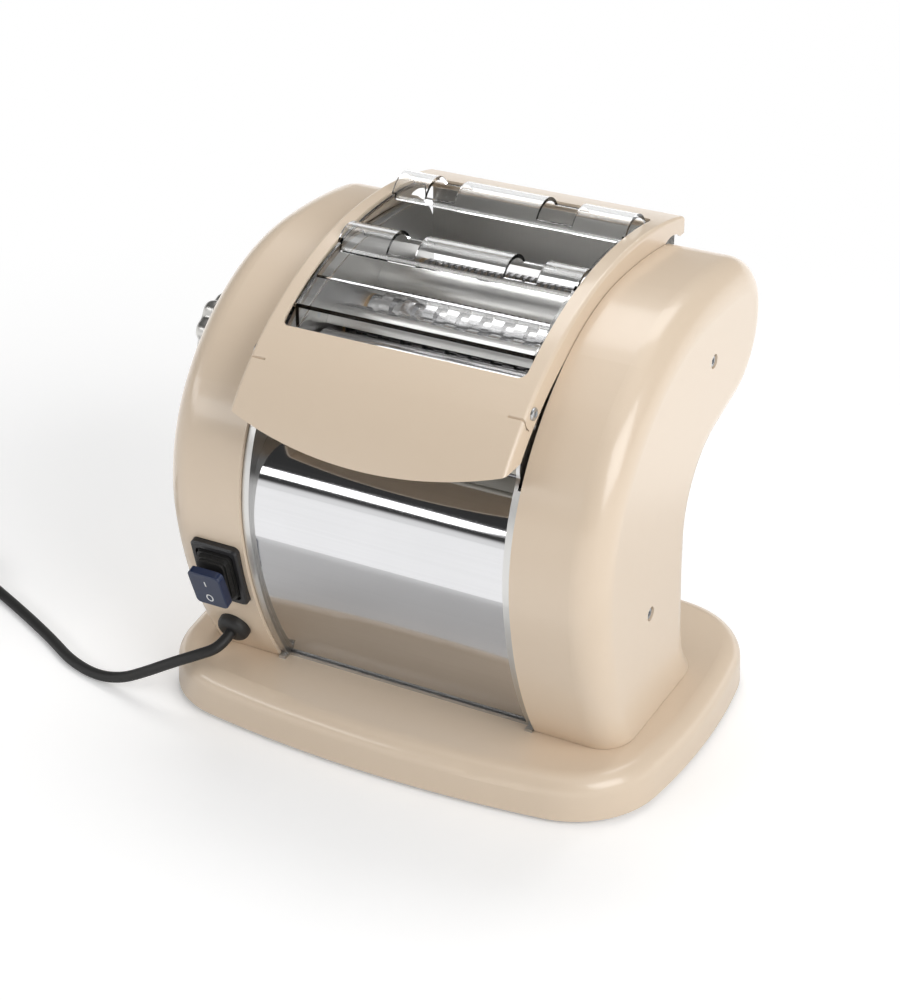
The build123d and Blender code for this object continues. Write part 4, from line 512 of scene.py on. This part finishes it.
mains_lead = new_piece(
    "mains_lead",
    cord_curve("mains_lead", CORD_ROUTE + coil_points() + [PLUG_TAIL]),
    FINISHES["black_rubber"],
)
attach(mains_lead, "housing")
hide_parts("mains_cord", "cord_coil")

TIE_ANGLE = radians(20)
TIE_WIDTH = 5.0
TIE_HALF_ACROSS = 6.6
TIE_HALF_HEIGHT = 9.3
TIE_SWELL = 0.35
TIE_POINTS = 40


def tie_band():
    """Flat band round the coil's section: a rounded box line, |u|^4 + |v|^4 = 1, swept along the turns."""
    around = np.linspace(0, 2 * pi, TIE_POINTS, endpoint=False)
    across = np.sign(np.cos(around)) * np.abs(np.cos(around)) ** 0.5 * TIE_HALF_ACROSS
    height = np.sign(np.sin(around)) * np.abs(np.sin(around)) ** 0.5 * TIE_HALF_HEIGHT
    widths = np.array([-0.5, -0.4, 0.4, 0.5]) * TIE_WIDTH
    swell = np.array([0.0, TIE_SWELL, TIE_SWELL, 0.0])
    middle = (COIL_INNER + COIL_OUTER) / 2
    rows = []
    for width, proud in zip(widths, swell):
        reach = middle + across * (1 + proud / TIE_HALF_ACROSS)
        turn = TIE_ANGLE + width / middle
        rise = np.maximum(TIE_HALF_HEIGHT + height * (1 + proud / TIE_HALF_HEIGHT), 0.0)
        rows.append(np.stack([
            COIL_CENTRE[0] + reach * np.cos(turn),
            COIL_CENTRE[1] + reach * np.sin(turn),
            rise,
        ], axis=-1))
    return np.array(rows) * MM


cord_tie = new_piece("cord_tie", skin("cord_tie", tie_band()), FINISHES["black_rubber"])
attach(cord_tie, "housing")


# ------------------------------------------------------------------ thickness knob
KNOB_AXIS = (-19.0, 185.5)
KNOB_BACK_X = -124.2
KNOB_FACE_X = -136.2
KNOB_RADIUS = 20.5
KNOB_DEPTH = 3.0
KNOB_LOBES = 8
KNOB_LOBE_POWER = 1.4
KNOB_POINTS = 240
# The lobes fade out over this span of the section's shares, down to its start.
KNOB_FADE_START = 0.62
KNOB_FADE_SPAN = 0.30
# The knob's section as (share of the rim radius, x): back, rim, rounded edge, dished face.
KNOB_SECTION = [
    (0.20, KNOB_BACK_X),
    (0.88, KNOB_BACK_X),
    (0.955, KNOB_BACK_X - 0.3),
    (0.985, KNOB_BACK_X - 1.1),
    (1.0, KNOB_BACK_X - 2.4),
    (1.0, KNOB_BACK_X - 5.0),
    (0.992, KNOB_BACK_X - 7.4),
    (0.965, KNOB_BACK_X - 9.4),
    (0.915, KNOB_BACK_X - 10.9),
    (0.85, KNOB_BACK_X - 11.7),
    (0.77, KNOB_FACE_X),
    (0.66, KNOB_FACE_X + 0.1),
    (0.61, KNOB_FACE_X + 0.5),
    (0.58, KNOB_FACE_X + 1.2),
    (0.50, KNOB_FACE_X + 1.6),
    (0.25, KNOB_FACE_X + 1.5),
    (0.04, KNOB_FACE_X + 1.5),
]


def knob_rows():
    """Rim radius = R - d * ((1 + cos(8 a)) / 2)^1.4.

    The lobes fade out towards the middle of the face.
    """
    angle = np.linspace(0, 2 * pi, KNOB_POINTS, endpoint=False)
    dip = KNOB_DEPTH * ((1 + np.cos(KNOB_LOBES * angle)) / 2) ** KNOB_LOBE_POWER
    rows = []
    for share, x in KNOB_SECTION:
        fade = min(1.0, max(0.0, (share - KNOB_FADE_START) / KNOB_FADE_SPAN))
        radius = share * (KNOB_RADIUS - dip * fade)
        rows.append(np.stack([
            np.full_like(angle, x),
            KNOB_AXIS[0] + radius * np.cos(angle),
            KNOB_AXIS[1] + radius * np.sin(angle),
        ], axis=-1))
    return np.array(rows) * MM


knob = new_piece("knob_grip", skin("knob_grip", knob_rows()), FINISHES["silver_plastic"])
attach(knob, "adjuster")
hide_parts("thickness_knob")


# ------------------------------------------------------------------ screws with sockets
SCREW_POINTS = 48
SCREW_TIP_CHAMFER = 0.4
SOCKET_CHAMFER = 0.12
SOCKET_DEPTH = 1.1
SOCKET_FLOOR = 1.3


def hex_reach(angle, flat):
    """Distance from the centre to a hexagon's side at an angle, for a half width across its flats."""
    return flat / np.cos((angle + pi / 6) % (pi / 3) - pi / 6)


def screw_rows(place, direction, seat_x, tip_x, shank, head, height, socket):
    """Section turned about X: tip, shank, domed head, then a six-sided socket sunk into it."""
    angle = np.linspace(0, 2 * pi, SCREW_POINTS, endpoint=False)
    ones = np.ones_like(angle)
    six = hex_reach(angle, socket)
    top = seat_x + direction * height
    section = [
        (ones * shank * 0.6, tip_x),
        (ones * shank, tip_x + direction * SCREW_TIP_CHAMFER),
        (ones * shank, seat_x),
        (ones * head, seat_x),
        (ones * head, seat_x + direction * height * 0.45),
        (ones * head * 0.96, seat_x + direction * height * 0.72),
        (ones * head * 0.84, seat_x + direction * height * 0.92),
        (ones * head * 0.68, top),
        (six * 1.06, top),
        (six, top - direction * SOCKET_CHAMFER),
        (six, top - direction * SOCKET_DEPTH),
        (six * 0.1, top - direction * SOCKET_FLOOR),
    ]
    return np.array([
        np.stack([
            np.full_like(angle, x),
            place[0] + reach * np.cos(angle),
            place[1] + reach * np.sin(angle),
        ], axis=-1)
        for reach, x in section
    ]) * MM


def join_meshes(name, meshes):
    """One mesh of several."""
    work = bmesh.new()
    for mesh in meshes:
        work.from_mesh(mesh)
    joined = bpy.data.meshes.new(name)
    work.to_mesh(joined)
    work.free()
    return joined


def sharpen(mesh, degrees):
    """Smooth shading, broken where faces meet at more than the angle."""
    mesh.polygons.foreach_set("use_smooth", np.ones(len(mesh.polygons), bool))
    mesh.set_sharp_from_angle(angle=radians(degrees))
    return mesh


COVER_SCREWS = [(36.2, 201.0), (-30.4, 91.4)]
COVER_SEAT_X = 120.0
SCREW_TIP_X = 71.2
UPPER_RIGHT_TIP_X = 102.2
PIVOT = (-70.0, 207.9)
PIVOT_SEAT_X = 75.1
SCREW_SHANK = 1.98
SHARP_ANGLE = 35


def socket_screws(name, node, screws, shank, head, height, socket):
    """Group of socket screws that stands for a node: each screw is (place, direction, seat x, tip x)."""
    meshes = [
        skin(name, screw_rows(place, direction, seat, tip, shank, head, height, socket))
        for place, direction, seat, tip in screws
    ]
    mesh = sharpen(join_meshes(name, meshes), SHARP_ANGLE)
    piece = new_piece(name, mesh, FINISHES["zinc_steel"])
    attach(piece, "housing")
    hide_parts(node)
    return piece


socket_screws(
    "cover_socket_screws",
    "cover_screws",
    [
        (COVER_SCREWS[0], 1, COVER_SEAT_X, UPPER_RIGHT_TIP_X),
        (COVER_SCREWS[1], 1, COVER_SEAT_X, SCREW_TIP_X),
        (COVER_SCREWS[0], -1, -COVER_SEAT_X, -SCREW_TIP_X),
        (COVER_SCREWS[1], -1, -COVER_SEAT_X, -SCREW_TIP_X),
    ],
    shank=SCREW_SHANK,
    head=3.4,
    height=1.8,
    socket=1.5,
)
socket_screws(
    "hood_pivot_socket_screws",
    "hood_pivot_screws",
    [
        (PIVOT, 1, PIVOT_SEAT_X, SCREW_TIP_X),
        (PIVOT, -1, -PIVOT_SEAT_X, -SCREW_TIP_X),
    ],
    shank=SCREW_SHANK,
    head=3.2,
    height=1.3,
    socket=1.4,
)


# ------------------------------------------------------------------ printed marks on the rocker
ROCKER_BODY = "rocker"
SWITCH_ORIGIN = Vector((-92.0, -86.0356, 87.4889))
SWITCH_NORMAL = Vector((0, -0.969664, -0.244441))
SWITCH_UP = Vector((0, -0.244441, 0.969664))
ROCKER_TILT = radians(6)
ROCKER_REACH = 16.5
MARK_PROUD = 0.06
MARK_SUNK = -0.05
MARK_WIDTH = 0.75
RING_POINTS = 40
RING_CENTRE = -5.6
RING_HALF_WIDTH = 1.75
RING_HALF_HEIGHT = 2.3
BAR_PLACES = (3.2, 4.4, 5.6, 6.8)


def rocker_point(across, up, proud):
    """Point on the rocker's face, which leans back about its pivot."""
    normal = SWITCH_NORMAL * cos(ROCKER_TILT) - SWITCH_UP * sin(ROCKER_TILT)
    upward = SWITCH_UP * cos(ROCKER_TILT) + SWITCH_NORMAL * sin(ROCKER_TILT)
    return SWITCH_ORIGIN + normal * (ROCKER_REACH + proud) + upward * up + Vector((1, 0, 0)) * across


def mark(name, line, closed, width):
    """Flat raised line of the given width through (across, up) points."""
    points = np.array(line, float)
    ahead = np.roll(points, -1, axis=0) - points if closed else np.gradient(points, axis=0)
    behind = points - np.roll(points, 1, axis=0) if closed else ahead
    heading = ahead + behind
    heading /= np.linalg.norm(heading, axis=1)[:, None]
    side = np.stack([-heading[:, 1], heading[:, 0]], axis=-1) * width / 2
    rows = []
    for point, aside in zip(points, side):
        rows.append([
            rocker_point(*(point + aside), MARK_SUNK),
            rocker_point(*(point + aside), MARK_PROUD),
            rocker_point(*(point - aside), MARK_PROUD),
            rocker_point(*(point - aside), MARK_SUNK),
        ])
    grid = np.array([[tuple(corner) for corner in row] for row in rows]) * MM
    if closed:
        grid = np.vstack([grid, grid[:1]])
    return skin(name, grid, close_ends=not closed)


ring_angle = np.linspace(0, 2 * pi, RING_POINTS, endpoint=False)
off_ring = np.stack([
    RING_HALF_WIDTH * np.cos(ring_angle),
    RING_CENTRE + RING_HALF_HEIGHT * np.sin(ring_angle),
], axis=-1)
on_bar = [(0.0, up) for up in BAR_PLACES]
marks = new_piece(
    "rocker_marks",
    join_meshes("rocker_marks", [
        mark("off_ring", off_ring, True, MARK_WIDTH),
        mark("on_bar", on_bar, False, MARK_WIDTH),
    ]),
    PRINT,
)
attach(marks, ROCKER_BODY)


# ------------------------------------------------------------------ room and light
FLOOR_RADIUS = 4.0
FLOOR_LIFT = 0.22
FLOOR_POINTS = 96
WALL_STRENGTH = 1.45
WORLD_STRENGTH = 0.30
# Edges and widths of smooth steps, in metres on the floor, and in the height of a direction in the world.
WHITE_START = (0.34, 0.36)
WALL_AHEAD = (0.175, 0.02)
WALL_AROUND = (0.30, 0.05)
CEILING_START = (0.10, 0.10)
CEILING_LAMP = (0.86, 0.03)
CEILING_LAMP_SHARE = 0.75
WALL_LIGHT = 1.20
CEILING_DROP = 1.15


def floor_material():
    """Pale floor that turns, far from the object, to plain white for the camera.

    For mirrors it turns to a bright wall.
    """
    material, s = new_material("pale_floor")
    x = s.node("ShaderNodeSeparateXYZ", {}, {0: s.place()})
    y = Signal(s, x.socket.node.outputs["Y"])
    away = (x * x + y * y) ** 0.5
    far = away.above(*WHITE_START)
    rays = s.node("ShaderNodeLightPath", {}, {}, "Is Camera Ray")
    glossy = Signal(s, rays.socket.node.outputs["Is Glossy Ray"])
    bright = (y * -1.0).above(*WALL_AHEAD).math("MAXIMUM", away.above(*WALL_AROUND))
    grain = s.noise(400.0, 3.0)
    cloth = s.node(
        "ShaderNodeBsdfDiffuse",
        {},
        {"Color": s.blend(grain, (0.90, 0.90, 0.90), (0.93, 0.93, 0.93))},
    )
    white = s.node("ShaderNodeEmission", {}, {"Strength": 1.0})
    wall = s.node("ShaderNodeEmission", {}, {"Strength": WALL_STRENGTH})
    lift = s.node("ShaderNodeEmission", {}, {"Strength": FLOOR_LIFT})
    near = s.node("ShaderNodeAddShader", {}, {0: cloth, 1: lift})
    plain = s.node("ShaderNodeMixShader", {}, {0: far, 1: near, 2: white})
    seen = s.node("ShaderNodeMixShader", {}, {0: rays, 1: cloth, 2: plain})
    s.surface(s.node("ShaderNodeMixShader", {}, {0: glossy * bright, 1: seen, 2: wall}))
    return material


angles = np.linspace(0, 2 * pi, FLOOR_POINTS, endpoint=False)
floor_rows = np.array([
    np.stack([reach * np.cos(angles), reach * np.sin(angles), np.zeros_like(angles)], axis=-1)
    for reach in (0.02, 0.5, FLOOR_RADIUS)
])
floor_mesh = skin("floor", floor_rows, close_ends=False)
floor = bpy.data.objects.new("floor", floor_mesh)
bpy.context.scene.collection.objects.link(floor)
floor_mesh.materials.append(floor_material())


def light_world():
    """White room. Mirrors see bright walls under a dark ceiling; the camera sees plain white."""
    world = bpy.data.worlds.new("studio")
    bpy.context.scene.world = world
    s = Shader(world)
    rays = s.node("ShaderNodeLightPath", {}, {}, "Is Camera Ray")
    outputs = rays.socket.node.outputs
    glossy = Signal(s, outputs["Is Glossy Ray"])
    through = Signal(s, outputs["Is Transmission Ray"])
    direction = s.node("ShaderNodeTexCoord", {}, {}, "Generated")
    height = s.node("ShaderNodeSeparateXYZ", {}, {0: direction}, 2)
    dark = height.above(*CEILING_START) - height.above(*CEILING_LAMP) * CEILING_LAMP_SHARE
    walls = WALL_LIGHT - dark * CEILING_DROP
    plain = (rays + through).clamped()
    strength = plain + (1.0 - plain) * (glossy * walls + (1.0 - glossy) * WORLD_STRENGTH)
    back = s.node("ShaderNodeBackground", {}, {"Color": (1.0, 1.0, 1.0, 1.0), "Strength": strength})
    s.node("ShaderNodeOutputWorld", {}, {"Surface": back})


light_world()


def soft_lamp(name, place, target, size, power):
    """Rectangular softbox aimed at a point."""
    lamp_data = bpy.data.lights.new(name, "AREA")
    lamp_data.shape = "RECTANGLE"
    lamp_data.size = size[0]
    lamp_data.size_y = size[1]
    lamp_data.energy = power
    lamp = bpy.data.objects.new(name, lamp_data)
    bpy.context.scene.collection.objects.link(lamp)
    lamp.location = place
    lamp.rotation_mode = "QUATERNION"
    lamp.rotation_quaternion = (Vector(target) - Vector(place)).to_track_quat("-Z", "Y")


soft_lamp("key_softbox", place=(1.5, -0.6, 1.1), target=(0, 0, 0.12), size=(1.1, 1.1), power=20.0)
soft_lamp("top_softbox", place=(-0.2, 0.7, 1.55), target=(0, 0, 0.1), size=(1.2, 0.7), power=10.0)
soft_lamp("fill_softbox", place=(-1.5, -1.5, 1.0), target=(0, 0, 0.1), size=(1.8, 0.36), power=10.0)
